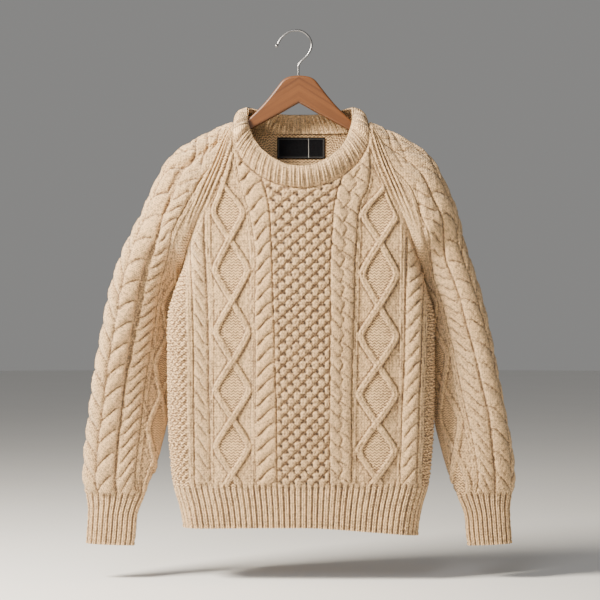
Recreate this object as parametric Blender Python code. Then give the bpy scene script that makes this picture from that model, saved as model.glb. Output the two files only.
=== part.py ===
"""A cable knit pullover hanging on a wooden hanger.

The body is a flattened tube of a front and a back, with raglan sleeves, ribbed hem and cuffs, and a
folded rib neckband. Every knitted piece is a closed wall: its inner side is plain and its outer side
carries the cables, diamonds, bobbles and ribs. The hanger inside it is a bent wooden bar with a wire hook.

The origin is the inside of the hook's bend, where a rail holds it. +Z is up and the front faces -Y.
Lengths in this script are millimetres, and the finished meshes are in metres.
"""

import math

import bpy
import numpy as np
from mathutils import Vector
from mathutils.geometry import delaunay_2d_cdt

MM = 0.001
WOOL = (0.80, 0.70, 0.55)
SHARP = math.radians(28)  # faces that meet at more than this show an edge
NAME = "aran_sweater"

# Driving sizes. Heights are measured from the origin, widths from the middle of the garment.
BODY_X = 3.0  # the body hangs this far to the right of the hook
BODY_HALF = 201.0  # half the body's width as it hangs
BODY_DEPTH = 42.0  # from the middle plane to the front or back of the chest
NECK_HALF = 104.0  # half the width of the neckline
NECK_TOP = -152.0  # height at which the front neckline meets the raglan seam
NECK_LOW = -239.0  # height of the front neckline's lowest point
NECK_SHAPE = 1.9  # 2 would make the front neckline half an ellipse
BACK_NECK_TOP = -147.0
BACK_NECK_LOW = -154.0
UNDERARM = -345.0
HEM_SEAM = -689.0
HEM_EDGE = -751.0
SLEEVE = 643.0  # length of a sleeve down its outer edge, from neckband to cuff
CAP = 195.0  # how much of that length lies above the underarm
CUFF = 73.0
WALL = 3.0
SEAM = 0.3  # gap between two pieces that are sewn together
MITRE = 1.7  # a wall's inner side is cut back by this much where a seam bends
RIB_WALL = 3.0
BAND_GAP = 0.9
BAND_WALL = 4.2  # the neckband is folded double
BAND_MITRE = 3.4  # and the neckband's by this much

# Knitted pattern, as distances from the middle of the panel.
CABLE = 22.2  # height of one cable twist
DIAMOND = 89.0  # height of one diamond
DIAMOND_START = 19.0  # the lowest crossing of its bands lies this far above the hem
SLEEVE_DIAMOND = 109.0
BOBBLE = 19.6  # distance between bobbles of one row, up and across
LATTICE_HALF = 40.0
BRAID_X, BRAID_HALF = 57.0, 15.0
RIB_X = (76.5, 141.5, 174.0)
DIAMOND_X, DIAMOND_HALF = 109.0, 25.0
ROPE_X, ROPE_HALF = 156.0, 12.0
PLAIT = 31.0  # height of one twist of the sleeve's broad plait
PLAIT_X, PLAIT_HALF = 21.0, 24.0
SLEEVE_RIB_X = (47.5, 76.5)
SLEEVE_ROPE_X, SLEEVE_ROPE_HALF = 62.0, 12.0
SLEEVE_DIAMOND_X, SLEEVE_DIAMOND_HALF = 97.0, 15.0
CABLE_RISE = 4.2
BAND_RISE = 3.2
BOBBLE_RISE = 4.0
PLAIT_RISE = 4.6
RIB_RISE = 1.7
HEM_RISE = 1.5  # of the ribs on hem, cuffs and neckband
HEM_RIBS = 45  # on the front, and as many on the back
CUFF_RIBS = 20
NECK_RIBS = 52
FAN = 15.0  # the middle panel spreads by this much at the neckline


def table(columns, *rows):
    """Named columns of a small table, each as an array."""
    return dict(zip(columns.split(), np.array(rows, float).T))


def soft(x, xs, ys):
    """A smooth curve through the points (xs, ys), at x."""
    xs, ys = np.asarray(xs, float), np.asarray(ys, float)
    if xs[0] > xs[-1]:
        xs, ys = xs[::-1], ys[::-1]
    step = np.diff(xs)
    slope = np.diff(ys) / step
    inner = (slope[1:] * step[:-1] + slope[:-1] * step[1:]) / (step[1:] + step[:-1])
    ease = np.concatenate([slope[:1], inner, slope[-1:]])
    turn = np.concatenate([[False], slope[1:] * slope[:-1] <= 0, [False]])
    ease = np.where(turn, 0.0, ease)
    x = np.clip(x, xs[0], xs[-1])
    i = np.clip(np.searchsorted(xs, x, side="right") - 1, 0, len(step) - 1)
    t = (x - xs[i]) / step[i]
    return (
        ys[i] * (1 + 2 * t) * (1 - t) ** 2
        + ys[i + 1] * t * t * (3 - 2 * t)
        + step[i] * t * (1 - t) * (ease[i] * (1 - t) - ease[i + 1] * t)
    )


def step_up(x, low, high):
    """0 below low, 1 above high and a soft rise between."""
    t = np.clip((np.asarray(x, float) - low) / (high - low), 0, 1)
    return t * t * (3 - 2 * t)


# The body as it hangs: half its width and how far its front and back stand off the middle plane.
BODY = table(
    "height half front back",
    (-100, 120, 17, 17),
    (-130, 138, 23, 24),
    (-152, 150, 27, 30),
    (-200, 164, 33, 36),
    (-239, 174, 36, 38),
    (-304, 178, 39, 39),
    (-330, 178, 40, 40),
    (-345, 176, 40, 40),
    (-380, 187, 41, 41),
    (-420, BODY_HALF - 2, BODY_DEPTH, 42),
    (-480, BODY_HALF, BODY_DEPTH, 42),
    (-560, BODY_HALF - 1, BODY_DEPTH, 42),
    (-640, BODY_HALF - 4, BODY_DEPTH - 1, 41),
    (-689, 191, 40, 40),
    (-715, 183, 38, 38),
    (-745, 177, 37, 37),
    (-790, 175, 36, 36),
)
# The raglan seam seen from the front.
RAGLAN = table(
    "height x",
    (NECK_TOP, NECK_HALF),
    (-197, 118),
    (-250, 140),
    (-304, 163),
    (-330, 172),
    (UNDERARM, 176),
)
# The sleeve down its length: its outer edge, its inner edge, and how far the section bulges.
OUTER = table(
    "down x y z bulge",
    (0, 101, 0, -138, 9),
    (53, 149, 0, -160, 15),
    (76, 168, 0, -171, 17),
    (98, 187, 0, -184, 20),
    (113, 197, 0, -195, 24),
    (126, 204, 0, -206, 27),
    (152, 215, 0, -229, 32),
    (179, 226, -1, -253, 38),
    (205, 236, -3, -277, 42),
    (256, 252.5, -8, -325, 42),
    (331, 275, -12, -396, 40),
    (381, 286, -13, -444, 38),
    (430, 296, -13, -492, 36),
    (479, 305, -12, -540, 34),
    (527, 313, -9, -588, 33),
    (576, 321, -5, -636, 32),
    (615, 324, -2, -675, 29),
    (SLEEVE, 320.5, 0, -703, 19),
    (SLEEVE + 20, 318, 0, -723, 15),
    (SLEEVE + CUFF, 321, 0, -776, 15),
)
# The inner edge is given by how far it lies inside the body's side, behind which it hangs.
INNER = table(
    "down inset y z",
    (CAP, 0, 0, UNDERARM),
    (205, -1.5, 9, -353),
    (214, -1.5, 17, -360),
    (230, 1, 27, -372),
    (282, 2, 40, -405),
    (331, 4, 46, -440),
    (381, 6, 48, -478),
    (430, 5, 47, -516),
    (479, 2, 42, -555),
    (527, -5, 30, -596),
    (576, -17, 14, -638),
    (615, -33, 5, -676),
    (SLEEVE, -52, 1, -704),
    (SLEEVE + 20, -66, 0, -724),
    (SLEEVE + CUFF, -79, 0, -779),
)
# The middle between the two sleeves, down their length.
LEAN = table(
    "down x",
    (0, 3),
    (CAP, 3),
    (CAP + 60, -4),
    (430, -5),
    (530, -2),
    (SLEEVE, 0),
    (SLEEVE + CUFF, 0),
)
CREVICE = 0.6  # the sleeve stands this far off the body in the corner under the arm
RAGLAN_STEPS = 13
LONGEST_TURN = 40.0  # an edge longer than this isn't turned along the relief

# Soft folds of the body: where each starts and ends, how wide it is and how deep.
FOLDS = table(
    "x_top z_top x_low z_low width depth side",
    (-150, -330, -146, -720, 20, 5, -1),
    (152, -330, 148, -700, 20, 3.5, -1),
    (-60, -330, -40, -560, 26, 2, -1),
    (80, -280, 66, -600, 24, 2.5, -1),
    (-140, -300, -120, -700, 22, 4.5, 1),
    (30, -250, 10, -650, 30, 4, 1),
    (140, -340, 150, -690, 20, 4, 1),
)


def row_point(rows, names, at):
    return np.array([soft(at, rows["down"], rows[n]) for n in names])


class Cloth:
    """A soft surface made of rows. A place on it is (across, along): along picks the row and across is
    the distance along the row from its middle."""

    def __init__(self, start, stop, step, row, points=41):
        self.start, self.step = start, step
        self.count = int(round((stop - start) / step)) + 1
        half = points // 2
        grid, halves = [], []
        for i in range(self.count):
            line = row(start + i * step)
            middle = len(line) // 2
            low, low_length = evenly(line[: middle + 1], half)
            high, high_length = evenly(line[middle:], half)
            grid.append(np.vstack([low, high[1:]]))
            halves.append((low_length, high_length))
        self.half = np.array(halves)
        self.across_cells = 2 * half
        self.grid = extended(extended(np.array(grid)).swapaxes(0, 1)).swapaxes(0, 1)

    def reach(self, along, side):
        """How far the row goes from its middle, towards side -1 or 1."""
        rows = self.start + self.step * np.arange(self.count)
        order = np.argsort(rows)
        return np.interp(along, rows[order], self.half[order, 0 if side < 0 else 1])

    def share(self, across, along):
        """Across as a share of the row, from -1 to 1."""
        across = np.asarray(across, float)
        reach = np.where(across < 0, self.reach(along, -1), self.reach(along, 1))
        return np.clip(across / reach, -1, 1)

    def spot(self, share, along):
        u = np.clip((np.asarray(along, float) - self.start) / self.step, 0, self.count - 1 - 1e-9)
        v = np.clip((np.asarray(share, float) + 1) / 2 * self.across_cells, 0, self.across_cells - 1e-9)
        i, j = u.astype(int), v.astype(int)
        wu, wv = weights(u - i), weights(v - j)
        out = 0
        for a in range(4):
            for b in range(4):
                out = out + (wu[a] * wv[b])[..., None] * self.grid[i + a, j + b]
        return out

    def place(self, across, along, lift=0.0):
        """Points on the surface, moved outwards by lift."""
        along = np.asarray(along, float)
        share = self.share(across, along)
        across_way = self.spot(share + 0.01, along) - self.spot(share - 0.01, along)
        along_way = self.spot(share, along + 1) - self.spot(share, along - 1)
        out = np.cross(across_way, along_way)
        out /= np.maximum(np.linalg.norm(out, axis=-1, keepdims=True), 1e-9)
        return self.spot(share, along) + out * np.asarray(lift, float)[..., None] * self.outward

    outward = 1.0


def extended(grid):
    """The grid with one more row at each end, that carries on its bend."""
    before = 3 * grid[:1] - 3 * grid[1:2] + grid[2:3]
    after = 3 * grid[-1:] - 3 * grid[-2:-1] + grid[-3:-2]
    return np.concatenate([before, grid, after])


def weights(t):
    return (
        (-t + 2 * t * t - t**3) / 2,
        (2 - 5 * t * t + 3 * t**3) / 2,
        (t + 4 * t * t - 3 * t**3) / 2,
        (t**3 - t * t) / 2,
    )


def evenly(line, cells):
    """The line again as equal steps, and its length."""
    gone = np.concatenate([[0], np.cumsum(np.linalg.norm(np.diff(line, axis=0), axis=1))])
    at = np.linspace(0, gone[-1], cells + 1)
    return np.stack([np.interp(at, gone, line[:, k]) for k in range(3)], axis=1), gone[-1]


# ---------------------------------------------------------------- the body's form


def corner(height, side):
    """Radius of the body's rounded side and how much its middle bulges past that."""
    depth = soft(height, BODY["height"], BODY["front" if side < 0 else "back"])
    bulge = 0.15 * depth
    return depth - bulge, bulge


def body_reach(height, side):
    """Distance along the cloth from the middle to the side seam."""
    radius, _ = corner(height, side)
    return soft(height, BODY["height"], BODY["half"]) - radius + radius * math.pi / 2


def folds(x, height, side):
    """How far soft folds sink into the front (side -1) or back (side 1)."""
    sink = 0.0
    for k in range(len(FOLDS["side"])):
        if FOLDS["side"][k] != side:
            continue
        top, low = FOLDS["z_top"][k], FOLDS["z_low"][k]
        down = np.clip((top - height) / (top - low), 0, 1)
        middle = FOLDS["x_top"][k] + (FOLDS["x_low"][k] - FOLDS["x_top"][k]) * down
        fade = step_up(top - height, -20, 60) * step_up(height - low, -20, 60)
        sink = sink + FOLDS["depth"][k] * fade * np.exp(-(((x - middle) / FOLDS["width"][k]) ** 2))
    return sink


def body_row(side):
    def row(height):
        radius, bulge = corner(height, side)
        reach = body_reach(height, side)
        flat = reach - radius * math.pi / 2
        across = np.linspace(-reach, reach, 161)
        turn = np.clip((np.abs(across) - flat) / radius, 0, math.pi / 2)
        x = np.sign(across) * (np.minimum(np.abs(across), flat) + radius * np.sin(turn))
        depth = radius * np.cos(turn) + bulge * np.cos(across / reach * math.pi / 2) ** 2
        depth -= folds(x, height, side) * np.cos(turn)
        # Seen from behind, the back's rows run the other way.
        return np.stack([BODY_X - side * x, side * depth, np.full_like(x, height)], axis=1)

    return row


def raglan_across(height, side):
    """Distance along the cloth from the body's middle to the raglan seam."""
    radius, _ = corner(height, side)
    x = soft(height, RAGLAN["height"], RAGLAN["x"])
    flat = soft(height, BODY["height"], BODY["half"]) - radius
    turn = np.arcsin(np.clip((x - flat) / radius, 0, 1))
    return np.minimum(x, flat) + radius * turn


# ---------------------------------------------------------------- the sleeve's form


def bezier(a, b, c, d, count=33):
    t = np.linspace(0, 1, count)[:, None]
    return a * (1 - t) ** 3 + 3 * b * t * (1 - t) ** 2 + 3 * c * t * t * (1 - t) + d * t**3


def sleeve_row(hand, fabric):
    """Rows of the left (hand -1) or right (hand 1) sleeve, from its back edge over its outer edge to its
    front edge. Above the underarm those two edges are the raglan seams."""

    def row(along):
        down = -along
        lean = soft(down, LEAN["down"], LEAN["x"])
        outer = row_point(OUTER, "x y z".split(), down)
        bulge = soft(down, OUTER["down"], OUTER["bulge"])
        open_share = 1 - step_up(down, 30, CAP)
        halves = []
        for side in (1, -1):
            if down < CAP:
                top = BACK_NECK_TOP if side > 0 else NECK_TOP
                height = top * (1 - down / CAP) + UNDERARM * down / CAP
                lift = CREVICE * step_up(down, CAP / 3, CAP * 0.8)
                end = fabric[side].place(side * -hand * raglan_across(height, side), height, lift)
            else:
                inset, y, z = row_point(INNER, "inset y z".split(), down)
                x = soft(z, BODY["height"], BODY["half"]) - inset + CREVICE
                end = np.array([BODY_X + hand * x, y, z])
            end = np.array([hand * (end[0] - lean), end[1], end[2]])
            chord = end - outer
            out = np.array([0.0, side, 0.0])
            across = chord / np.linalg.norm(chord)
            level = out - across * (out @ across)
            level /= np.linalg.norm(level)
            # Above the underarm the cloth leaves the ridge level and meets the seam more or less flat.
            first = outer + bulge * (open_share * out + (1 - open_share) * level)
            flat_end = end - 0.35 * chord + np.array([0, side * 3.0, 0])
            round_end = end + bulge * (0.75 if side < 0 else 0.95) * level
            second = open_share * flat_end + (1 - open_share) * round_end
            halves.append(bezier(outer, first, second, end))
        line = np.vstack([halves[0][::-1], halves[1][1:]])
        line[:, 0] = hand * line[:, 0] + lean
        return line

    return row


# ---------------------------------------------------------------- the knitted relief


def dome(x):
    return np.sqrt(np.clip(1 - x * x, 0, 1))


def rope(across, along, half, pitch, lean):
    """Strands that lie over each other at a slant, rising towards +across where lean is 1."""
    a = across / half
    phase = (along / pitch - 0.42 * lean * np.sin(np.clip(a, -1, 1) * math.pi / 2)) % 1
    return dome(a) ** 0.8 * (0.3 + 0.7 * dome(2 * phase - 1))


def plait(across, along, half, pitch):
    """Two columns of slanted leaves that meet in the middle like a row of V's."""
    a = across / half
    phase = (along / pitch - 0.8 * np.abs(a) + 0.5 * (a < 0)) % 1
    leaf = dome(2 * phase - 1) * dome(2 * np.abs(a) - 0.95)
    return (0.35 * dome(a) + 0.75 * leaf) * (np.abs(a) < 1)


def ridge(distance, half):
    return dome(distance / half) * (np.abs(distance) < half)


def zigzag(along, period):
    """0 where two lines cross and 1 where they are furthest apart."""
    return 1 - np.abs((along / period) % 1 * 2 - 1)


def bobbles(across, along):
    best = 0
    for shift in (0.0, 0.5):
        x = (across / BOBBLE + 0.5 + shift) % 1 - 0.5
        y = (along / BOBBLE + shift) % 1 - 0.5
        best = np.maximum(best, dome(np.hypot(x, y) / 0.42) * (np.hypot(x, y) < 0.42))
    return best


def fan(height, front):
    """How far the middle panel has spread at this height."""
    return FAN * soft(height, (-239, -272, -310, -360, -410, -500), (1, 0.67, 0.4, 0.2, 0.13, 0)) * front


def fanned(across, height, side):
    """Where a column of the pattern lies on the cloth."""
    spread = fan(height, 1.0 if side < 0 else 0.5)
    return across + np.sign(across) * spread * np.clip(np.abs(across) / LATTICE_HALF, 0, 1)


def unfanned(across, height, side):
    """The column of the pattern at a place on the cloth."""
    spread = fan(height, 1.0 if side < 0 else 0.5)
    size = np.abs(across)
    near = size * LATTICE_HALF / (LATTICE_HALF + spread)
    return np.sign(across) * np.where(size < LATTICE_HALF + spread, near, size - spread)


def body_relief(across, height, side):
    """How far the knitted pattern stands out on the front (side -1) or back (side 1)."""
    p = unfanned(across, height, side)
    q = height - HEM_SEAM
    size = np.abs(p)
    rise = BOBBLE_RISE * bobbles(p, q) * (size < LATTICE_HALF - 1)
    near = np.abs(size - BRAID_X) < BRAID_HALF
    rise = np.where(near, CABLE_RISE * plait(np.sign(p) * (size - BRAID_X), q, BRAID_HALF, CABLE), rise)
    for x in RIB_X:
        rise = np.maximum(rise, RIB_RISE * ridge(size - x, 2.6))
    spread = DIAMOND_HALF * zigzag(q - DIAMOND_START, DIAMOND)
    for edge in (-1, 1):
        rise = np.maximum(rise, BAND_RISE * ridge(size - DIAMOND_X - edge * spread, 4.2))
    near = np.abs(size - ROPE_X) < ROPE_HALF
    rise = np.where(near, CABLE_RISE * rope(size - ROPE_X, q, ROPE_HALF, CABLE, 1), rise)
    rise = rise + 0.4
    # Nothing stands out in the tight corner under the arm.
    return rise * seam_fade(across, height, side)


def seam_fade(across, height, side):
    """1 over the panel and 0 at its raglan seams and neckline, and further from them under the arm."""
    top = NECK_TOP if side < 0 else BACK_NECK_TOP
    edge = np.where(height > UNDERARM, raglan_across(height, side), body_reach(height, side))
    room = edge - np.abs(across)
    above = step_up(height, UNDERARM - 130, UNDERARM - 10)
    corner_room = 9 * above * (1 - step_up(height, UNDERARM + 50, UNDERARM + 120))
    fade = 1 - above * (1 - step_up(room, 1, 6 + corner_room))
    drop = neck_height(across, side) - height
    if side < 0:
        deep = np.clip(top - height, 0, 500) / (NECK_TOP - NECK_LOW)
        round_shape = (np.abs(across) / NECK_HALF) ** NECK_SHAPE + deep**NECK_SHAPE
        drop = (round_shape ** (1 / NECK_SHAPE) - 1) * 90
    return fade * step_up(drop, 0.5, 6)


def sleeve_relief(across, along, cloth):
    """How far the pattern stands out on a sleeve, with across counted towards the front."""
    q = along + SLEEVE
    rise = PLAIT_RISE * plait(across - PLAIT_X, q, PLAIT_HALF, PLAIT)
    size = np.abs(across - PLAIT_X)
    for x in SLEEVE_RIB_X:
        rise = np.maximum(rise, RIB_RISE * ridge(size - (x - PLAIT_X), 2.6))
    x = size - (SLEEVE_ROPE_X - PLAIT_X)
    near = np.abs(x) < SLEEVE_ROPE_HALF
    rise = np.where(near, CABLE_RISE * rope(x, q, SLEEVE_ROPE_HALF, CABLE, 1), rise)
    spread = SLEEVE_DIAMOND_HALF * zigzag(q, SLEEVE_DIAMOND)
    x = size - (SLEEVE_DIAMOND_X - PLAIT_X)
    for edge in (-1, 1):
        rise = np.maximum(rise, BAND_RISE * 0.8 * ridge(x - edge * spread, 4.2))
    edge = np.where(across > 0, cloth.reach(along, 1), cloth.reach(along, -1))
    room = edge - np.abs(across)
    cap = 1 - step_up(-along, CAP, CAP + 40)
    tucked = step_up(-along, CAP - 110, CAP - 50) * (1 - step_up(-along, 560, 600))
    fade = 1 - cap * (1 - step_up(room, 1, 6))
    fade = fade * (1 - tucked * (1 - step_up(room, 2, 30)))
    return (rise + 0.4) * fade * step_up(-along, 0.5, 6)


# ---------------------------------------------------------------- building walls


def inside(points, outline, margin):
    """Those of the points that lie inside the outline, at least margin from it."""
    points, outline = np.asarray(points, float), np.asarray(outline, float)
    a, b = outline, np.roll(outline, -1, axis=0)
    keep = np.zeros(len(points), bool)
    for n, (x, y) in enumerate(points):
        crossing = (a[:, 1] > y) != (b[:, 1] > y)
        at = a[:, 0] + (y - a[:, 1]) / np.where(crossing, b[:, 1] - a[:, 1], 1) * (b[:, 0] - a[:, 0])
        if (crossing & (at > x)).sum() % 2 == 0:
            continue
        way = b - a
        t = np.clip(((np.array([x, y]) - a) * way).sum(1) / (way * way).sum(1), 0, 1)
        keep[n] = np.hypot(*(a + way * t[:, None] - (x, y)).T).min() > margin
    return points[keep]


def triangles(outline, points):
    """Triangles over the outline and the points inside it."""
    flat = [Vector((float(x), float(y))) for x, y in np.vstack([outline, points])]
    ring = list(range(len(outline)))
    spots, _, faces, sources, _, _ = delaunay_2d_cdt(flat, [], [ring], 1, 1e-6)
    if any(len(s) != 1 for s in sources):
        raise ValueError("two points of a panel coincide")
    index = [s[0] for s in sources]
    out = []
    for face in faces:
        a, b, c = (spots[k] for k in face)
        turn = (b - a).cross(c - a)
        out.append([index[k] for k in (face if turn > 0 else face[::-1])])
    return out


def misfit(points, surface, a, b):
    """How far straight edges from points a to points b lie off the surface."""
    ends = surface(points)
    total = 0
    for t in (0.25, 0.5, 0.75):
        chord = ends[a] * (1 - t) + ends[b] * t
        total = total + np.linalg.norm(surface(points[a] * (1 - t) + points[b] * t) - chord, axis=1)
    return total


def turned_to_relief(faces, points, surface, relief, passes=5):
    """The triangles with their diagonals turned to run along the relief's crests and hollows, where that
    doesn't take them further off the surface."""
    for _ in range(passes):
        sides = {}
        for n, face in enumerate(faces):
            for k in range(3):
                a, b, c = face[k], face[(k + 1) % 3], face[(k + 2) % 3]
                sides.setdefault((min(a, b), max(a, b)), []).append((a, b, c, n))
        pairs = [(s[0], s[1]) for s in sides.values() if len(s) == 2]
        a, b, c, d = (np.array(k) for k in zip(*((p[0], p[1], p[2], q[2]) for p, q in pairs)))
        gain = misfit(points, relief, a, b) - misfit(points, relief, c, d)
        worse = misfit(points, surface, c, d) - misfit(points, surface, a, b)
        room = np.minimum(area(points, a, d, c), area(points, d, b, c))
        longest = np.linalg.norm(points[c] - points[d], axis=1)
        touched = set()
        for k in np.argsort(-gain):
            if gain[k] < 0.15:
                break
            n, m = pairs[k][0][3], pairs[k][1][3]
            if room[k] < 6 or longest[k] > LONGEST_TURN or worse[k] > 0 or {n, m} & touched:
                continue
            faces[n] = [int(c[k]), int(a[k]), int(d[k])]
            faces[m] = [int(d[k]), int(b[k]), int(c[k])]
            touched |= {n, m}
        if not touched:
            break
    return faces


def area(points, a, b, c):
    """Area of the triangles a, b, c, below zero where they are wound backwards."""
    u, v = points[b] - points[a], points[c] - points[a]
    return (u[:, 0] * v[:, 1] - u[:, 1] * v[:, 0]) / 2


def wall(name, outline, inner_outline, fine, coarse, place, relief, thickness, weld=(), hand=1):
    """A closed wall. Its outer side goes through the outline and the fine points, its inner side through
    the inner outline and the coarse ones. The weld pairs outline points of two edges that are one."""
    outline, inner_outline = np.asarray(outline, float), np.asarray(inner_outline, float)
    fine = inside(fine, outline, 2.2)
    coarse = inside(coarse, inner_outline, 6.0)
    edge = len(outline)
    outer_at = np.vstack([outline, fine])
    inner_at = np.vstack([inner_outline, coarse])

    def height(at):
        return relief(at[:, 0], at[:, 1])[:, None]

    def outer_side(at):
        return place(at[:, 0], at[:, 1], relief(at[:, 0], at[:, 1]))

    outer = outer_side(outer_at)
    inner = place(inner_at[:, 0], inner_at[:, 1], -thickness(inner_at[:, 0], inner_at[:, 1]))
    twin = dict(weld)
    first_inner = len(outer)
    faces = turned_to_relief(triangles(outline, fine), outer_at, outer_side, height)
    faces = [[twin.get(k, k) for k in f] for f in faces]
    for f in triangles(inner_outline, coarse):
        faces.append([first_inner + twin.get(k, k) for k in reversed(f)])
    welded = set(twin) | set(twin.values())
    for a in range(edge):
        b = (a + 1) % edge
        if a in welded and b in welded:
            continue
        a, b = twin.get(a, a), twin.get(b, b)
        faces.append([b, a, first_inner + a, first_inner + b])
    points = np.vstack([outer, inner])
    if hand < 0:
        faces = [f[::-1] for f in faces]
    return solid(name, points, faces, WOOL)


def solid(name, points, faces, colour, rough=0.9):
    """One closed mesh of its own material, from points in millimetres."""
    used = sorted({k for f in faces for k in f})
    index = {k: i for i, k in enumerate(used)}
    mesh = bpy.data.meshes.new(name)
    mesh.from_pydata([tuple(points[k] * MM) for k in used], [], [[index[k] for k in f] for f in faces])
    mesh.validate()
    mesh.shade_smooth()
    mesh.set_sharp_from_angle(angle=SHARP)
    mesh.materials.append(finish(name, colour, rough))
    obj = bpy.data.objects.new(name, mesh)
    bpy.data.collections[NAME].objects.link(obj)
    return obj


def finish(name, colour, rough, metal=0.0):
    """The material of one piece."""
    material = bpy.data.materials.new(name)
    material.use_nodes = True
    shader = material.node_tree.nodes["Principled BSDF"]
    shader.inputs["Base Color"].default_value = (*colour, 1)
    shader.inputs["Roughness"].default_value = rough
    shader.inputs["Metallic"].default_value = metal
    return material


def spaced(start, stop, step):
    count = max(1, int(round(abs(stop - start) / step)))
    return np.linspace(start, stop, count + 1)


def columns(xs, start, stop, pitch, shift=0.0):
    """Points up each column, on a grid of heights that all columns share."""
    out = []
    for x in xs:
        out += [(x, y) for y in np.arange(start + shift, stop, pitch)]
    return out


# ---------------------------------------------------------------- the body panels


def neck_height(x, side):
    """Height of the neckline, at a distance from the body's middle."""
    if side < 0:
        deep = np.clip(1 - (np.abs(x) / NECK_HALF) ** NECK_SHAPE, 0, 1) ** (1 / NECK_SHAPE)
        return NECK_TOP - (NECK_TOP - NECK_LOW) * deep
    return BACK_NECK_TOP - (BACK_NECK_TOP - BACK_NECK_LOW) * np.clip(1 - (np.abs(x) / NECK_HALF) ** 4, 0, 1)


def body_thickness(across, height, side):
    """A panel thins out where its tip runs up between the neckband and the sleeve."""
    tip = NECK_TOP if side < 0 else BACK_NECK_TOP
    return WALL * (1 - 0.75 * step_up(height, tip - 35, tip - 8) * step_up(np.abs(across), 78, 92))


def drawn_in(outline, side):
    """The outline of a body panel's inner side, drawn in along the seams that bend over the shoulder."""
    out = []
    for across, height in outline:
        seam = raglan_across(height, side) if height > UNDERARM else 1e9
        tip = NECK_TOP if side < 0 else BACK_NECK_TOP
        room = MITRE * float(step_up(height, -300, -210) * (1 - step_up(height, tip - 30, tip - 4)))
        room = room if abs(across) > seam - 1 else 0.0
        out.append((across - math.copysign(room, across), height))
    return out


def neck_line(side, count):
    """Neckline points from the right raglan seam to the left one, as (across, height)."""
    turn = np.linspace(0, math.pi, count)
    x = (NECK_HALF - 3) * np.cos(turn)
    return np.stack([x, neck_height(x, side)], axis=1)


def body_outline(side, low, knots):
    """The panel's edge: up the right side, along the raglan seam, round the neckline and down again."""
    top = NECK_TOP if side < 0 else BACK_NECK_TOP
    right = []
    for height in spaced(HEM_SEAM + low, UNDERARM, 22)[:-1]:
        right.append((body_reach(height, side) - SEAM / 2, height))
    for height in np.linspace(UNDERARM, top, RAGLAN_STEPS + 1):
        blunt = 0.7 * step_up(height, top - 18, top)
        right.append((raglan_across(height, side) - SEAM / 2 - blunt, height))
    neck = neck_line(side, 27)
    left = [(-x, y) for x, y in reversed(right)]
    bottom = [(x, HEM_SEAM + low) for x in knots if abs(x) < right[0][0] - 2]
    return right + [tuple(n) for n in neck] + left + bottom


def leaf_points(middle, half, shares, pitch, top, plaited=False):
    """Points on the crests and creases of a rope or, where plaited, of a plait."""
    out = []
    for share in shares:
        rise = 0.42 * math.sin(share * math.pi / 2)
        if plaited:
            rise = 0.8 * abs(share) - 0.5 * (share < 0)
        for k in range(-2, int(2 * top / pitch) + 2):
            out.append((middle + share * half, (rise + k / 2) * pitch))
    return out


def body_points(side):
    """Points on the crests and hollows of the knitted pattern."""
    top = NECK_TOP - HEM_SEAM
    pattern = columns(BOBBLE / 2 * np.arange(-3, 4), 0, top, BOBBLE / 2)
    for hand in (-1, 1):
        pattern += columns([hand * LATTICE_HALF], CABLE / 2, top, CABLE)
        pattern += leaf_points(hand * BRAID_X, hand * BRAID_HALF, (-0.5, 0, 0.5), CABLE, top, True)
        pattern += columns([hand * 73.3, hand * RIB_X[0]], 8, top, 1.5 * CABLE)
        for edge in (-1, 1):
            for q in np.arange(DIAMOND_START - DIAMOND / 6, top, DIAMOND / 6):
                line = DIAMOND_X + edge * max(DIAMOND_HALF * zigzag(q - DIAMOND_START, DIAMOND), 2.4)
                pattern += [(hand * (line + off), q) for off in (-4.2, 0, 4.2)]
        pattern += columns([hand * RIB_X[1]], 5, top, CABLE)
        pattern += columns([hand * (ROPE_X + ROPE_HALF)], 3, top, CABLE)
        pattern += leaf_points(hand * ROPE_X, hand * ROPE_HALF, (-0.5, 0, 0.5), CABLE, top)
        pattern += columns([hand * RIB_X[2], hand * 177.5], 9, top, 1.5 * CABLE)
        pattern += columns([hand * x for x in (192, 206)], 6, top, 1.2 * CABLE)
    pattern = np.array(pattern)
    height = pattern[:, 1] + HEM_SEAM
    return np.stack([fanned(pattern[:, 0], height, side), height], axis=1)


def thin_out(points, gap):
    """The points without those nearer than gap to one before."""
    kept, cells = [], {}
    for x, y in points:
        cell = (int(x // gap), int(y // gap))
        near = [
            other
            for i in (-1, 0, 1)
            for j in (-1, 0, 1)
            for other in cells.get((cell[0] + i, cell[1] + j), ())
        ]
        if all(math.hypot(x - a, y - b) >= gap for a, b in near):
            cells.setdefault(cell, []).append((x, y))
            kept.append((x, y))
    return np.array(kept)


def make_body(cloth):
    for side, name in ((-1, "front"), (1, "back")):
        knots = spaced(-222, 222, 10)
        outline = body_outline(side, SEAM / 2, knots)
        coarse = columns(np.arange(-208, 209, 26), HEM_SEAM + 14, NECK_TOP, 40)
        wall(
            name,
            outline,
            drawn_in(outline, side),
            thin_out(body_points(side), 3.0),
            coarse,
            cloth[side].place,
            lambda x, y, s=side: body_relief(x, y, s),
            lambda x, y, s=side: body_thickness(x, y, s),
        )


def hem_edge(across):
    """The hem's lower edge, which hangs lower at its right."""
    return HEM_EDGE + soft(across, (-240, 0, 120, 240), (0, 2, -5, -15))


def rib_relief(share, ribs, ease):
    """A row of ribs, with share going from 0 to 1 over all of them."""
    return 0.3 + HEM_RISE * ease * (0.5 - 0.5 * np.cos(share * ribs * 2 * math.pi))


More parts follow.
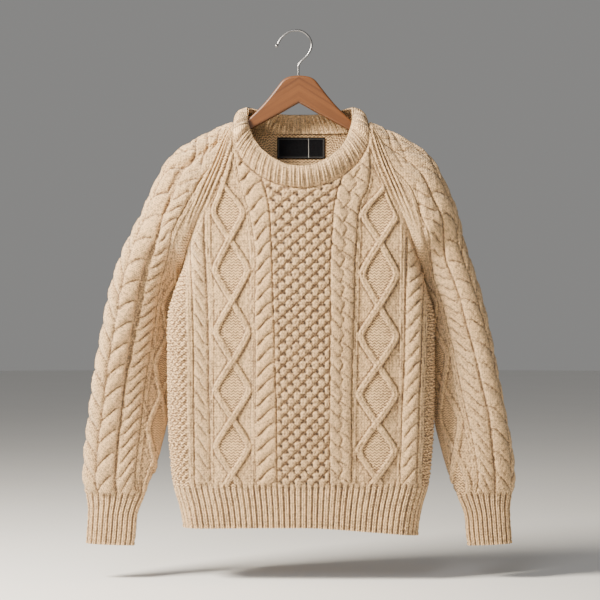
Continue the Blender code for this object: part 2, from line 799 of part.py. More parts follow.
def make_hem(cloth):
    for side, name in ((-1, "hem_front"), (1, "hem_back")):
        fabric = cloth[side]

        def place(share, drop, lift, fabric=fabric, side=side):
            """Share runs from 0 to 1 across the hem and drop from 0 to 1 down it."""
            start = HEM_SEAM - SEAM / 2
            middle = (share * 2 - 1) * 215
            height = start + drop * (hem_edge(-side * middle) - start)
            reach = fabric.reach(height, 1) - SEAM
            return fabric.place((share * 2 - 1) * reach, height, lift)

        ribbed_wall(name, place, HEM_RIBS, (0, 0.88, 1), RIB_WALL, closed=False)


def ribbed_wall(name, place, ribs, drops, thickness, closed, hand=1, ease=None, inner_cut=0.0):
    """A band of ribs as a wall: a ridge and a hollow for each rib, and a plainer inner side. Its rows of
    points stand at the drops, where ease says what share of the ribs' height shows."""
    count = ribs * 2
    stops = count if closed else count + 1
    shares = np.arange(stops) / count
    points, rows = [], []
    for k, drop in enumerate(drops):
        lift = rib_relief(shares, ribs, 1.0 if ease is None else ease[k])
        rows.append(len(points) + np.arange(stops))
        points += list(place(shares, np.full(stops, drop), lift))
    inner = []
    for drop in (drops[0] + inner_cut, drops[-1]):
        inner.append(len(points) + np.arange(stops))
        points += list(place(shares, np.full(stops, drop), np.full(stops, -thickness)))
    faces = []
    cells = stops if closed else stops - 1
    for a in range(cells):
        b = (a + 1) % stops
        for upper, lower in zip(rows, rows[1:]):
            faces.append([upper[a], lower[a], lower[b], upper[b]])
        faces.append([inner[0][a], inner[0][b], inner[1][b], inner[1][a]])
        faces.append([rows[0][b], inner[0][b], inner[0][a], rows[0][a]])
        faces.append([rows[-1][a], inner[1][a], inner[1][b], rows[-1][b]])
    if not closed:
        for end, flip in ((0, False), (stops - 1, True)):
            side = [r[end] for r in rows] + [inner[1][end], inner[0][end]]
            faces.append(side if flip else side[::-1])
    faces = [f[::-1] for f in faces] if hand < 0 else faces
    return solid(name, np.array(points), faces, WOOL)


# ---------------------------------------------------------------- sleeves and cuffs


def sleeve_points(cloth):
    """Points on the crests and hollows of a sleeve's pattern."""
    pattern = leaf_points(PLAIT_X, PLAIT_HALF, (-0.5, 0, 0.5), PLAIT, SLEEVE, True)
    for hand in (-1, 1):
        pattern += columns([PLAIT_X + hand * (SLEEVE_RIB_X[0] - PLAIT_X)], 5, SLEEVE, PLAIT * 0.7)
        middle = PLAIT_X + hand * (SLEEVE_ROPE_X - PLAIT_X)
        pattern += leaf_points(middle, hand * SLEEVE_ROPE_HALF, (-0.5, 0.5), CABLE, SLEEVE)
        pattern += columns([PLAIT_X + hand * (SLEEVE_RIB_X[1] - PLAIT_X)], 9, SLEEVE, PLAIT * 0.7)
    for edge in (-1, 1):
        for q in np.arange(0, SLEEVE, SLEEVE_DIAMOND / 4):
            line = SLEEVE_DIAMOND_X + edge * max(SLEEVE_DIAMOND_HALF * zigzag(q, SLEEVE_DIAMOND), 2.4)
            pattern += [(line + off, q) for off in (-4.2, 0, 4.2)]
    pattern = [(x, y - SLEEVE) for x, y in pattern]
    plain = tube_points(cloth, (-0.97, -0.9, -0.8, -0.66, -0.5, 0.9, 0.97), 26)
    return thin_out(np.array(pattern + plain), 3.4)


def tube_points(cloth, shares, pitch):
    """Columns at shares of the sleeve's half girth, close together where the section turns tightly."""
    out = []
    for share in shares:
        for along in np.arange(pitch / 2 - SLEEVE, -pitch / 2, pitch):
            out.append((share * float(cloth.reach(along, np.sign(share))), along))
    return out


def sleeve_thickness(across, along, cloth):
    """A sleeve thins out at the corners of its top edge."""
    corner_share = step_up(np.abs(cloth.share(across, along)), 0.5, 0.8)
    return WALL * (1 - 0.75 * corner_share * (1 - step_up(-along, 8, 40)))


def make_sleeve(name, cloth, hand):
    low = -SLEEVE + SEAM / 2
    raglan = np.linspace(CAP, SEAM, RAGLAN_STEPS + 1)
    downs = np.concatenate([spaced(SLEEVE - SEAM / 2, CAP, 24)[:-1], raglan])
    front = [(cloth.reach(-d, 1) - (SEAM / 2 if d < CAP else 0), -d) for d in downs]
    back = [(-cloth.reach(-d, -1) + (SEAM / 2 if d < CAP else 0), -d) for d in downs]
    top = [(x, -SEAM) for x in spaced(front[-1][0], back[-1][0], 8)[1:-1]]
    bottom = [(x, low) for x in spaced(back[0][0], front[0][0], 9)[1:-1]]
    outline = front + top + back[::-1] + bottom
    seam = int(np.argmin(np.abs(downs - CAP))) + 1
    last = len(front) + len(top) + len(back) - 1
    weld = {last - k: k for k in range(seam)}
    half = (0.1, 0.28, 0.5, 0.72, 0.9, 0.97)
    coarse = tube_points(cloth, [-share for share in reversed(half)] + list(half), 30)
    inner_outline = []
    for across, along in outline:
        seam = -along < CAP and abs(across) > cloth.reach(along, math.copysign(1, across)) - 1
        room = MITRE * float(2 - step_up(-along, 60, 150) - step_up(-along, 5, 40)) if seam else 0.0
        rise = 1.0 if along == low else 0.0
        inner_outline.append((across - math.copysign(room, across), along + rise))
    wall(
        name,
        outline,
        inner_outline,
        sleeve_points(cloth),
        coarse,
        cloth.place,
        lambda x, y: sleeve_relief(x, y, cloth),
        lambda x, y: sleeve_thickness(x, y, cloth),
        weld=weld,
        hand=-hand,
    )


def make_cuff(name, cloth, hand):
    def place(share, drop, lift):
        """Share goes round the cuff from its inner side, and drop from 0 to 1 down it."""
        along = -(SLEEVE + SEAM / 2 + drop * (CUFF - SEAM))
        side = np.where(share < 0.5, -1, 1)
        reach = np.where(side < 0, cloth.reach(along, -1), cloth.reach(along, 1))
        return cloth.place((share * 2 - 1) * reach, along, lift)

    drops = (0, 0.12, 0.9, 1)
    ribbed_wall(name, place, CUFF_RIBS, drops, RIB_WALL, closed=True, hand=-hand, inner_cut=0.02)


# ---------------------------------------------------------------- neckband and label


def closed_line(points, count):
    """A closed line again as equal steps."""
    points = np.vstack([points, points[:1]])
    gone = np.concatenate([[0], np.cumsum(np.linalg.norm(np.diff(points, axis=0), axis=1))])
    at = np.arange(count) / count * gone[-1]
    return np.stack([np.interp(at, gone, points[:, k]) for k in range(3)], axis=1)


# The neckband's upper edge, from the front's middle round the side to the back's middle.
BAND_TOP = table(
    "x y z",
    (0, -41, -204),
    (21, -40, -201.5),
    (43, -37, -191),
    (60, -31, -178),
    (70, -23, -163),
    (77, -14, -143),
    (81, -6, -126),
    (81.5, 1, -117.5),
    (76, 8, -117),
    (62, 13.5, -121),
    (40, 17, -126),
    (18, 18.5, -127.5),
    (0, 19, -127.5),
)


# How many of the neckband's columns stand on each stretch of the neckline. The back's are counted twice.
BAND_STOPS = {"back": 17, "sleeve": 10, "front": 50}


def neck_loop(cloth, sleeves):
    """The neckline all round, from the back's middle over the right side to the front and on."""
    front = neck_line(-1, 61)
    back = neck_line(1, 61)
    front_line = cloth[-1].place(front[:, 0], front[:, 1])
    back_line = cloth[1].place(back[:, 0], back[:, 1])
    over = {}
    for hand in (-1, 1):
        sleeve = sleeves[hand]
        across = np.linspace(-sleeve.reach(0, -1), sleeve.reach(0, 1), 21)
        over[hand] = sleeve.place(across, np.zeros(21))
    half = len(back_line) // 2
    stretches = (
        (back_line[half:], BAND_STOPS["back"]),
        (over[1], BAND_STOPS["sleeve"]),
        (front_line, BAND_STOPS["front"]),
        (over[-1][::-1], BAND_STOPS["sleeve"]),
        (back_line[: half + 1], BAND_STOPS["back"]),
    )
    return np.vstack([evenly(line, count)[0][:-1] for line, count in stretches])


def band_top():
    """The neckband's upper edge all round, as a closed line."""
    half = np.stack([BAND_TOP[k] for k in "xyz"], axis=1)
    return np.vstack([half[::-1], (half * (-1, 1, 1))[1:-1]])


def make_neckband(cloth, sleeves):
    stops = NECK_RIBS * 2
    low = neck_loop(cloth, sleeves)
    top = closed_line(band_top() + (BODY_X - 1.5, 0, 0), stops)

    def place(share, rise, lift):
        """Share goes round the band and rise from 0 to 1 up it."""
        k = np.round(share * stops).astype(int) % stops
        rise = rise[:, None]
        a, b = low[k], top[k]
        way = b - a
        way /= np.linalg.norm(way, axis=1, keepdims=True)
        start = a + way * BAND_GAP
        round_way = low[(k + 1) % stops] - low[k - 1] + top[(k + 1) % stops] - top[k - 1]
        out = np.cross(way, round_way)
        out /= np.linalg.norm(out, axis=1, keepdims=True)
        swell = 3.0 * np.sin(np.clip(rise, 0, 1) * math.pi)
        # The inner side starts a little higher, clear of the panel's own wall.
        mitre = np.where(lift < 0, BAND_MITRE, 0)[:, None] * (1 - rise)
        return start + (b - start) * rise + way * mitre + out * (swell + lift[:, None])

    ribbed_wall(
        "neckband",
        place,
        NECK_RIBS,
        (1, 0.9, 0.45, 0),
        BAND_WALL,
        closed=True,
        hand=-1,
        ease=(0.1, 1, 1, 0.6),
    )


LABEL_WIDTH, LABEL_HEIGHT, LABEL_THICK = 73.0, 32.5, 0.8
LABEL_TOP = -160.5
LABEL_GAP = 0.8  # clear of the panel's wall
LABEL_CORNER = 1.5  # its corners are cut by this much


def make_label(cloth):
    """A small woven label inside the back, under the neckband."""
    xs = np.linspace(-LABEL_WIDTH / 2, LABEL_WIDTH / 2, 9)
    zs = np.linspace(LABEL_TOP, LABEL_TOP - LABEL_HEIGHT, 4)
    points = []
    for depth in (WALL + LABEL_GAP, WALL + LABEL_GAP + LABEL_THICK):
        for i, z in enumerate(zs):
            for j, x in enumerate(xs):
                pull = LABEL_CORNER if i in (0, 3) and j in (0, 8) else 0
                points.append(cloth[1].place([x - math.copysign(pull, x)], [z], [-depth])[0])
    points = np.array(points)
    width, height = len(xs), len(zs)
    layer = width * height
    faces = []
    for i in range(height - 1):
        for j in range(width - 1):
            a = i * width + j
            quad = [a, a + width, a + width + 1, a + 1]
            faces.append(quad)
            faces.append([layer + k for k in reversed(quad)])
    ring = list(range(width)) + [i * width + width - 1 for i in range(1, height)]
    ring += [layer - 1 - j for j in range(1, width)] + [i * width for i in range(height - 2, 0, -1)]
    for a, b in zip(ring, ring[1:] + ring[:1]):
        faces.append([a, b, layer + b, layer + a])
    solid("label", points, faces, (0.02, 0.02, 0.025), rough=0.5)


# ---------------------------------------------------------------- the hanger

HANGER_THICK = 12.0
HANGER_ROUND = 3.2  # radius of the bar's edges
# Upper and lower edge of the bar, from its middle to its tip.
BAR = table(
    "x top low",
    (0, -66.5, -108),
    (9, -67.3, -113),
    (17, -69, -117.5),
    (24, -73, -121.5),
    (33, -84, -126.5),
    (44, -98, -132.5),
    (56, -112, -139),
    (70, -126, -146.5),
    (86, -140, -156),
    (103, -149.5, -167),
    (122, -157.5, -177),
    (142, -167.5, -186),
    (160, -177, -193.5),
    (174, -185.5, -200),
    (182, -191.5, -203),
    (187, -196.5, -201.5),
)


def make_bar():
    """The bar: its outline as a flat curve, thick and with rounded edges."""
    rim = [(x, z) for x, z in zip(BAR["x"], BAR["top"])]
    rim += [(x, z) for x, z in zip(BAR["x"][::-1], BAR["low"][::-1])]
    rim += [(-x, z) for x, z in reversed(rim[1:-1])]
    curve = bpy.data.curves.new("hanger_wood", "CURVE")
    curve.dimensions = "2D"
    curve.fill_mode = "BOTH"
    curve.extrude = (HANGER_THICK / 2 - HANGER_ROUND) * MM
    curve.bevel_depth = HANGER_ROUND * MM
    curve.bevel_resolution = 1
    curve.offset = -HANGER_ROUND * MM
    spline = curve.splines.new("POLY")
    spline.points.add(len(rim) - 1)
    for point, (x, z) in zip(spline.points, rim):
        point.co = (x * MM, z * MM, 0, 1)
    spline.use_cyclic_u = True
    bar = curve_object(curve, (0.50, 0.25, 0.11), rough=0.45)
    bar.rotation_euler = (math.radians(90), 0, 0)


HOOK_WIRE = 1.65  # radius of the wire
HOOK_BALL = 2.7  # and of the ball on its tip
HOOK_STEPS = 34
# The hook's middle line, from the joint in the wood round to its tip.
HOOK = table(
    "x z",
    (-1, -66.2),
    (-1, -54),
    (0.5, -48.5),
    (5, -43),
    (12, -36.5),
    (17.5, -27.5),
    (19, -18.5),
    (16, -9),
    (10.5, -2.8),
    (3.5, 1.2),
    (-4, 2.3),
    (-11, 1.6),
    (-17.5, -1.2),
    (-24, -6.5),
    (-29, -12.5),
    (-33, -19.5),
)


def make_hook():
    """Bent wire that swells into a small ball at its tip."""
    knots = np.arange(len(HOOK["x"]), dtype=float)
    fine = np.linspace(0, knots[-1], HOOK_STEPS)
    line = np.stack([soft(fine, knots, HOOK["x"]), soft(fine, knots, HOOK["z"])], axis=1)
    wide = [1.0] * len(line)
    tip, way = line[-1], (line[-1] - line[-2]) / np.linalg.norm(line[-1] - line[-2])
    for turn in np.radians((50, 75, 100, 125, 150, 170)):
        line = np.vstack([line, tip + way * HOOK_BALL * (0.75 - math.cos(turn))])
        wide.append(HOOK_BALL * math.sin(turn) / HOOK_WIRE)
    curve = bpy.data.curves.new("hanger_hook", "CURVE")
    curve.dimensions = "3D"
    curve.bevel_depth = HOOK_WIRE * MM
    curve.bevel_resolution = 2
    curve.use_fill_caps = True
    spline = curve.splines.new("POLY")
    spline.points.add(len(line) - 1)
    for point, (x, z), radius in zip(spline.points, line, wide):
        point.co = (x * MM, 0, z * MM, 1)
        point.radius = radius
    curve_object(curve, (0.62, 0.62, 0.63), rough=0.25, metal=1.0)


def curve_object(curve, colour, rough, metal=0.0):
    curve.materials.append(finish(curve.name, colour, rough, metal))
    obj = bpy.data.objects.new(curve.name, curve)
    bpy.data.collections[NAME].objects.link(obj)
    return obj


def main():
    for obj in list(bpy.data.objects):
        bpy.data.objects.remove(obj, do_unlink=True)
    bpy.context.scene.collection.children.link(bpy.data.collections.new(NAME))
    body = {side: Cloth(-790, -100, 10, body_row(side), 61) for side in (-1, 1)}
    length = SLEEVE + CUFF
    sleeves = {hand: Cloth(-length, 0, length / 72, sleeve_row(hand, body)) for hand in (-1, 1)}
    for hand in sleeves:
        sleeves[hand].outward = -hand
    make_body(body)
    make_hem(body)
    for hand, name in ((-1, "left"), (1, "right")):
        make_sleeve("sleeve_" + name, sleeves[hand], hand)
        make_cuff("cuff_" + name, sleeves[hand], hand)
    make_neckband(body, sleeves)
    make_label(body)
    make_bar()
    make_hook()


main()
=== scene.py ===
"""A cable knit pullover on a wooden hanger: its finished pieces, finishes, light and camera.

Every knitted piece is a thin closed wall on the form of the solid it stands for. Its outer side is a
close grid of points that carries the knitted pattern, and its inner side is plain. Lengths are
millimetres in the functions below and metres in the meshes and in the panel's settings.
"""

import functools
import math

import bpy
import numpy as np
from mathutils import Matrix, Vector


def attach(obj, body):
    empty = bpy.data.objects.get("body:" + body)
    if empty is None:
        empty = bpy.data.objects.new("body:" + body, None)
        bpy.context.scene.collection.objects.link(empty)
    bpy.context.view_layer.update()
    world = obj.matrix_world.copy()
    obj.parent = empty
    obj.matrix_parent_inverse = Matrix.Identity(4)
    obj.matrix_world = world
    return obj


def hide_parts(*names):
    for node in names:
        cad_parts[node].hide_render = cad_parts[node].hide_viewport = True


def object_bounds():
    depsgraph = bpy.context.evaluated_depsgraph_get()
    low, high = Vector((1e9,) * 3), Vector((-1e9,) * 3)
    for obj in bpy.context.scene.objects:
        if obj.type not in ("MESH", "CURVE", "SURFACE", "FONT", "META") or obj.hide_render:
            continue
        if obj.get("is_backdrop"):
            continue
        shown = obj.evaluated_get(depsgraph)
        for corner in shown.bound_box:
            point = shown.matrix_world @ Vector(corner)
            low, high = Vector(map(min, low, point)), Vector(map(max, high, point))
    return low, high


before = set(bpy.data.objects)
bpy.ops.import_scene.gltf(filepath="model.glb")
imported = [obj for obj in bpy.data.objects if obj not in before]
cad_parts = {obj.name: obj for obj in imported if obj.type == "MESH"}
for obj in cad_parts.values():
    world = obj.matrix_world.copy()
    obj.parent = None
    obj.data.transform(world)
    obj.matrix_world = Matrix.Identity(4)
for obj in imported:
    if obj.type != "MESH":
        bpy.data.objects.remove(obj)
CAD_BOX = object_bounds()

bl_info = {
    "name": "Cable knit pullover",
    "version": (1, 0, 0),
    "blender": (4, 5, 0),
    "location": "3D View > Sidebar > Pullover",
    "description": "Builds a cable knit pullover on a wooden hanger",
    "category": "Add Mesh",
}

MM = 0.001
STITCH_WIDE, STITCH_HIGH = 4.45, 4.2
SEAM = 0.3  # gap between two pieces that are sewn together
WALL, RIB_WALL = 3.0, 3.0
LEAST_WALL = 0.7  # thickness that stays under the deepest holes
INNER_STEP = 6.0  # distance between the points of a wall's plain inner side
RIB_STEP, ROW_STRETCH = 1.1, 1.15  # the same for a ribbed band, and how much more it is down the band
SLEEVE_ROUND = 140.0  # half the way round a sleeve, on the whole
BAND_GAP, BAND_WALL, BAND_MITRE = 0.9, 4.2, 3.4
MITRE = 1.7  # a wall's inner side is cut back by this much where a seam bends

# The garment as it hangs. Heights are measured from the hook, widths from the garment's middle.
BODY_X = 3.0
BODY_HALF, BODY_DEPTH = 201.0, 42.0
NECK_HALF, NECK_TOP, NECK_LOW, NECK_SHAPE = 104.0, -152.0, -239.0, 1.9
BACK_NECK_TOP, BACK_NECK_LOW = -146.0, -151.0
TIP = {-1: NECK_TOP, 1: BACK_NECK_TOP}  # upper end of the raglan seams, front and back
UNDERARM = -345.0
HEM_SEAM, HEM_EDGE = -689.0, -751.0
SLEEVE, CAP, CUFF = 643.0, 195.0, 73.0
CREVICE = 0.6

# The pattern's columns, counted from the middle of a panel as it was knitted.
LATTICE = 42.3
BRAID, BRAID_HALF = 57.9, 15.6
DIAMOND, DIAMOND_HALF = 111.0, 28.0
ROPE, ROPE_HALF = 161.0, 11.0
PANEL_EDGE = 222.0
CELL_WIDE, CELL_HIGH = 19.4, 18.4
BRAID_PITCH, ROPE_PITCH = 22.5, 23.2
PLAIT_HALF, PLAIT_PITCH = 26.0, 35.5
SLEEVE_ROPE, SLEEVE_ROPE_HALF, SLEEVE_ROPE_PITCH = 43.0, 13.0, 22.2
SLEEVE_DIAMOND, SLEEVE_DIAMOND_HALF = 86.0, 20.0
HEM_RIBS, CUFF_RIBS, NECK_PAIRS = 48, 21, 41
# The fine upright ribs: their columns, each with half its width, on the body and on the sleeves.
FINE_RIBS = ((75.8, 2.0), (80.2, 2.0), (142.0, 1.8), (145.6, 1.8), (175.4, 2.0), (179.4, 2.0))
SLEEVE_RIBS = ((58.4, 1.9), (62.2, 1.9), (99.5, 1.9))
# The rows of purl stitches beside the cables: their columns, each with its depth and its width.
PURL_ROWS = ((LATTICE, 1.4, 1.4), (149.6, 0.9, 1.0), (172.4, 1.0, 1.0))
MOSS_FROM, SLEEVE_MOSS_FROM = 182.0, 101.0
# The raglan seam's ribs and the holes between them, by their distance from the seam.
RAGLAN_RIBS, RAGLAN_HOLES = (2.8, 9.2, 15.6), (6.0, 12.4)

# The finish of each of the record's material slots, and of the floor.
FINISH_NAMES = {
    "wool": "cream_wool",
    "wool_rib": "cream_rib_wool",
    "label": "black_weave",
    "wood": "lacquered_wood",
    "steel": "polished_wire",
    "floor": "studio_floor",
}


def table(columns, *rows):
    """Named columns of a small table, each as an array."""
    return dict(zip(columns.split(), np.array(rows, float).T))


def soft(x, xs, ys):
    """A smooth curve through the points (xs, ys), at x."""
    xs, ys = np.asarray(xs, float), np.asarray(ys, float)
    if xs[0] > xs[-1]:
        xs, ys = xs[::-1], ys[::-1]
    step = np.diff(xs)
    slope = np.diff(ys) / step
    inner = (slope[1:] * step[:-1] + slope[:-1] * step[1:]) / (step[1:] + step[:-1])
    ease = np.concatenate([slope[:1], inner, slope[-1:]])
    turn = np.concatenate([[False], slope[1:] * slope[:-1] <= 0, [False]])
    ease = np.where(turn, 0.0, ease)
    x = np.clip(x, xs[0], xs[-1])
    i = np.clip(np.searchsorted(xs, x, side="right") - 1, 0, len(step) - 1)
    t = (x - xs[i]) / step[i]
    return (
        ys[i] * (1 + 2 * t) * (1 - t) ** 2
        + ys[i + 1] * t * t * (3 - 2 * t)
        + step[i] * t * (1 - t) * (ease[i] * (1 - t) - ease[i + 1] * t)
    )


def step_up(x, low, high):
    """0 below low, 1 above high and a soft rise between."""
    t = np.clip((np.asarray(x, float) - low) / (high - low), 0, 1)
    return t * t * (3 - 2 * t)


# ---------------------------------------------------------------- the form of the body and sleeves

# The body as it hangs: half its width and how far its front and back stand off the middle plane.
BODY = table(
    "height half front back",
    (-100, 120, 17, 17),
    (-130, 138, 23, 24),
    (-152, 150, 27, 30),
    (-200, 164, 33, 36),
    (-239, 174, 36, 38),
    (-304, 178, 39, 39),
    (-330, 178, 40, 40),
    (-345, 176, 40, 40),
    (-380, 187, 41, 41),
    (-420, BODY_HALF - 2, BODY_DEPTH, 42),
    (-480, BODY_HALF, BODY_DEPTH, 42),
    (-560, BODY_HALF - 1, BODY_DEPTH, 42),
    (-640, BODY_HALF - 4, BODY_DEPTH - 1, 41),
    (-689, 191, 40, 40),
    (-715, 183, 38, 38),
    (-745, 177, 37, 37),
    (-790, 175, 36, 36),
)
# The raglan seam seen from the front.
RAGLAN = table(
    "height x",
    (NECK_TOP, NECK_HALF),
    (-197, 118),
    (-250, 140),
    (-304, 163),
    (-330, 172),
    (UNDERARM, 176),
)
# The sleeve down its length: its outer edge, its inner edge, and how far the section bulges.
OUTER = table(
    "down x y z bulge",
    (0, 101, 0, -138, 9),
    (53, 149, 0, -160, 15),
    (76, 168, 0, -171, 17),
    (98, 187, 0, -184, 20),
    (113, 197, 0, -195, 24),
    (126, 204, 0, -206, 27),
    (152, 215, 0, -229, 32),
    (179, 226, -1, -253, 38),
    (205, 236, -3, -277, 42),
    (256, 252.5, -8, -325, 42),
    (331, 275, -12, -396, 40),
    (381, 286, -13, -444, 38),
    (430, 296, -13, -492, 36),
    (479, 305, -12, -540, 34),
    (527, 313, -9, -588, 33),
    (576, 321, -5, -636, 32),
    (615, 324, -2, -675, 29),
    (SLEEVE, 320.5, 0, -703, 19),
    (SLEEVE + 20, 318, 0, -723, 15),
    (SLEEVE + CUFF, 321, 0, -776, 15),
)
# The inner edge is given by how far it lies inside the body's side, behind which it hangs.
INNER = table(
    "down inset y z",
    (CAP, 0, 0, UNDERARM),
    (205, -1.5, 9, -353),
    (214, -1.5, 17, -360),
    (230, 1, 27, -372),
    (282, 2, 40, -405),
    (331, 4, 46, -440),
    (381, 6, 48, -478),
    (430, 5, 47, -516),
    (479, 2, 42, -555),
    (527, -5, 30, -596),
    (576, -17, 14, -638),
    (615, -33, 5, -676),
    (SLEEVE, -52, 1, -704),
    (SLEEVE + 20, -66, 0, -724),
    (SLEEVE + CUFF, -79, 0, -779),
)
# The middle between the two sleeves, down their length.
LEAN = table(
    "down x",
    (0, 3),
    (CAP, 3),
    (CAP + 60, -4),
    (430, -5),
    (530, -2),
    (SLEEVE, 0),
    (SLEEVE + CUFF, 0),
)
# Soft folds of the body: where each starts and ends, how wide it is and how deep.
FOLDS = table(
    "x_top z_top x_low z_low width depth side",
    (-150, -330, -146, -720, 20, 5, -1),
    (152, -330, 148, -700, 20, 3.5, -1),
    (-90, -260, -88, -660, 24, 2.6, -1),
    (91, -260, 89, -660, 24, 3.0, -1),
    (-140, -300, -120, -700, 22, 4.5, 1),
    (30, -250, 10, -650, 30, 4, 1),
    (140, -340, 150, -690, 20, 4, 1),
)


class Cloth:
    """A soft surface made of rows. A place on it is (across, along): along picks the row and across is
    the distance along the row from its middle."""

    outward = 1.0

    def __init__(self, start, stop, step, row, points=41):
        self.start, self.step = start, step
        self.count = int(round((stop - start) / step)) + 1
        half = points // 2
        grid, halves = [], []
        for i in range(self.count):
            line = row(start + i * step)
            middle = len(line) // 2
            low, low_length = evenly(line[: middle + 1], half)
            high, high_length = evenly(line[middle:], half)
            grid.append(np.vstack([low, high[1:]]))
            halves.append((low_length, high_length))
        self.half = np.array(halves)
        self.across_cells = 2 * half
        self.grid = extended(extended(np.array(grid)).swapaxes(0, 1)).swapaxes(0, 1)

    def reach(self, along, side):
        """How far the row goes from its middle, towards side -1 or 1."""
        rows = self.start + self.step * np.arange(self.count)
        return np.interp(along, rows, self.half[:, 0 if side < 0 else 1])

    def share(self, across, along):
        """Across as a share of the row, from -1 to 1."""
        across = np.asarray(across, float)
        reach = np.where(across < 0, self.reach(along, -1), self.reach(along, 1))
        return np.clip(across / reach, -1, 1)

    def spot(self, share, along):
        u = np.clip((np.asarray(along, float) - self.start) / self.step, 0, self.count - 1 - 1e-9)
        v = np.clip((np.asarray(share, float) + 1) / 2 * self.across_cells, 0, self.across_cells - 1e-9)
        i, j = u.astype(int), v.astype(int)
        wu, wv = weights(u - i), weights(v - j)
        out = 0
        for a in range(4):
            for b in range(4):
                out = out + (wu[a] * wv[b])[..., None] * self.grid[i + a, j + b]
        return out

    def place(self, across, along, lift=0.0):
        """Points on the surface, moved outwards by lift."""
        along = np.asarray(along, float)
        share = self.share(across, along)
        across_way = self.spot(share + 0.01, along) - self.spot(share - 0.01, along)
        along_way = self.spot(share, along + 1) - self.spot(share, along - 1)
        out = np.cross(across_way, along_way)
        out /= np.maximum(np.linalg.norm(out, axis=-1, keepdims=True), 1e-9)
        return self.spot(share, along) + out * np.asarray(lift, float)[..., None] * self.outward


def extended(grid):
    """The grid with one more row at each end, that carries on its bend."""
    before = 3 * grid[:1] - 3 * grid[1:2] + grid[2:3]
    after = 3 * grid[-1:] - 3 * grid[-2:-1] + grid[-3:-2]
    return np.concatenate([before, grid, after])


def weights(t):
    return (
        (-t + 2 * t * t - t**3) / 2,
        (2 - 5 * t * t + 3 * t**3) / 2,
        (t + 4 * t * t - 3 * t**3) / 2,
        (t**3 - t * t) / 2,
    )


def evenly(line, cells):
    """The line again as equal steps, and its length."""
    gone = np.concatenate([[0], np.cumsum(np.linalg.norm(np.diff(line, axis=0), axis=1))])
    at = np.linspace(0, gone[-1], cells + 1)
    return np.stack([np.interp(at, gone, line[:, k]) for k in range(3)], axis=1), gone[-1]


def corner(height, side):
    """Radius of the body's rounded side and how much its middle bulges past that."""
    depth = soft(height, BODY["height"], BODY["front" if side < 0 else "back"])
    bulge = 0.15 * depth
    return depth - bulge, bulge


def round_the_side(x, height, side):
    """Distance along the cloth from the body's middle, for a width seen from the front."""
    radius, _ = corner(height, side)
    flat = soft(height, BODY["height"], BODY["half"]) - radius
    return np.minimum(x, flat) + radius * np.arcsin(np.clip((x - flat) / radius, 0, 1))


def body_reach(height, side):
    """Distance along the cloth from the middle to the side seam."""
    radius, _ = corner(height, side)
    return soft(height, BODY["height"], BODY["half"]) - radius + radius * math.pi / 2


def raglan_across(height, side):
    """Distance along the cloth from the body's middle to the raglan seam."""
    return round_the_side(soft(height, RAGLAN["height"], RAGLAN["x"]), height, side)


def folds(x, height, side):
    """How far soft folds sink into the front (side -1) or back (side 1)."""
    sink = 0.0
    for k in np.flatnonzero(FOLDS["side"] == side):
        top, low = FOLDS["z_top"][k], FOLDS["z_low"][k]
        down = np.clip((top - height) / (top - low), 0, 1)
        middle = FOLDS["x_top"][k] + (FOLDS["x_low"][k] - FOLDS["x_top"][k]) * down
        fade = step_up(top - height, -20, 60) * step_up(height - low, -20, 60)
        sink = sink + FOLDS["depth"][k] * fade * np.exp(-(((x - middle) / FOLDS["width"][k]) ** 2))
    return sink


def body_row(side):
    def row(height):
        radius, bulge = corner(height, side)
        reach = body_reach(height, side)
        flat = reach - radius * math.pi / 2
        across = np.linspace(-reach, reach, 161)
        turn = np.clip((np.abs(across) - flat) / radius, 0, math.pi / 2)
        x = np.sign(across) * (np.minimum(np.abs(across), flat) + radius * np.sin(turn))
        depth = radius * np.cos(turn) + bulge * np.cos(across / reach * math.pi / 2) ** 2
        depth -= folds(x, height, side) * np.cos(turn)
        # Seen from behind, the back's rows run the other way.
        return np.stack([BODY_X - side * x, side * depth, np.full_like(x, height)], axis=1)

    return row


def bezier(a, b, c, d, count=33):
    t = np.linspace(0, 1, count)[:, None]
    return a * (1 - t) ** 3 + 3 * b * t * (1 - t) ** 2 + 3 * c * t * t * (1 - t) + d * t**3


def row_point(rows, names, at):
    return np.array([soft(at, rows["down"], rows[n]) for n in names])


def sleeve_row(hand, fabric):
    """Rows of the left (hand -1) or right (hand 1) sleeve, from its back edge over its outer edge to its
    front edge. Above the underarm those two edges are the raglan seams."""

    def row(along):
        down = -along
        lean = soft(down, LEAN["down"], LEAN["x"])
        outer = row_point(OUTER, "x y z".split(), down)
        bulge = soft(down, OUTER["down"], OUTER["bulge"])
        open_share = 1 - step_up(down, 30, CAP)
        halves = []
        for side in (1, -1):
            if down < CAP:
                height = TIP[side] * (1 - down / CAP) + UNDERARM * down / CAP
                lift = CREVICE * step_up(down, CAP / 3, CAP * 0.8)
                end = fabric[side].place(side * -hand * raglan_across(height, side), height, lift)
            else:
                inset, y, z = row_point(INNER, "inset y z".split(), down)
                x = soft(z, BODY["height"], BODY["half"]) - inset + CREVICE
                end = np.array([BODY_X + hand * x, y, z])
            end = np.array([hand * (end[0] - lean), end[1], end[2]])
            chord = end - outer
            out = np.array([0.0, side, 0.0])
            across = chord / np.linalg.norm(chord)
            level = out - across * (out @ across)
            level /= np.linalg.norm(level)
            # Above the underarm the cloth leaves the ridge level and meets the seam more or less flat.
            first = outer + bulge * (open_share * out + (1 - open_share) * level)
            flat_end = end - 0.35 * chord + np.array([0, side * 3.0, 0])
            round_end = end + bulge * (0.75 if side < 0 else 0.95) * level
            second = open_share * flat_end + (1 - open_share) * round_end
            halves.append(bezier(outer, first, second, end))
        line = np.vstack([halves[0][::-1], halves[1][1:]])
        line[:, 0] = hand * line[:, 0] + lean
        return line

    return row


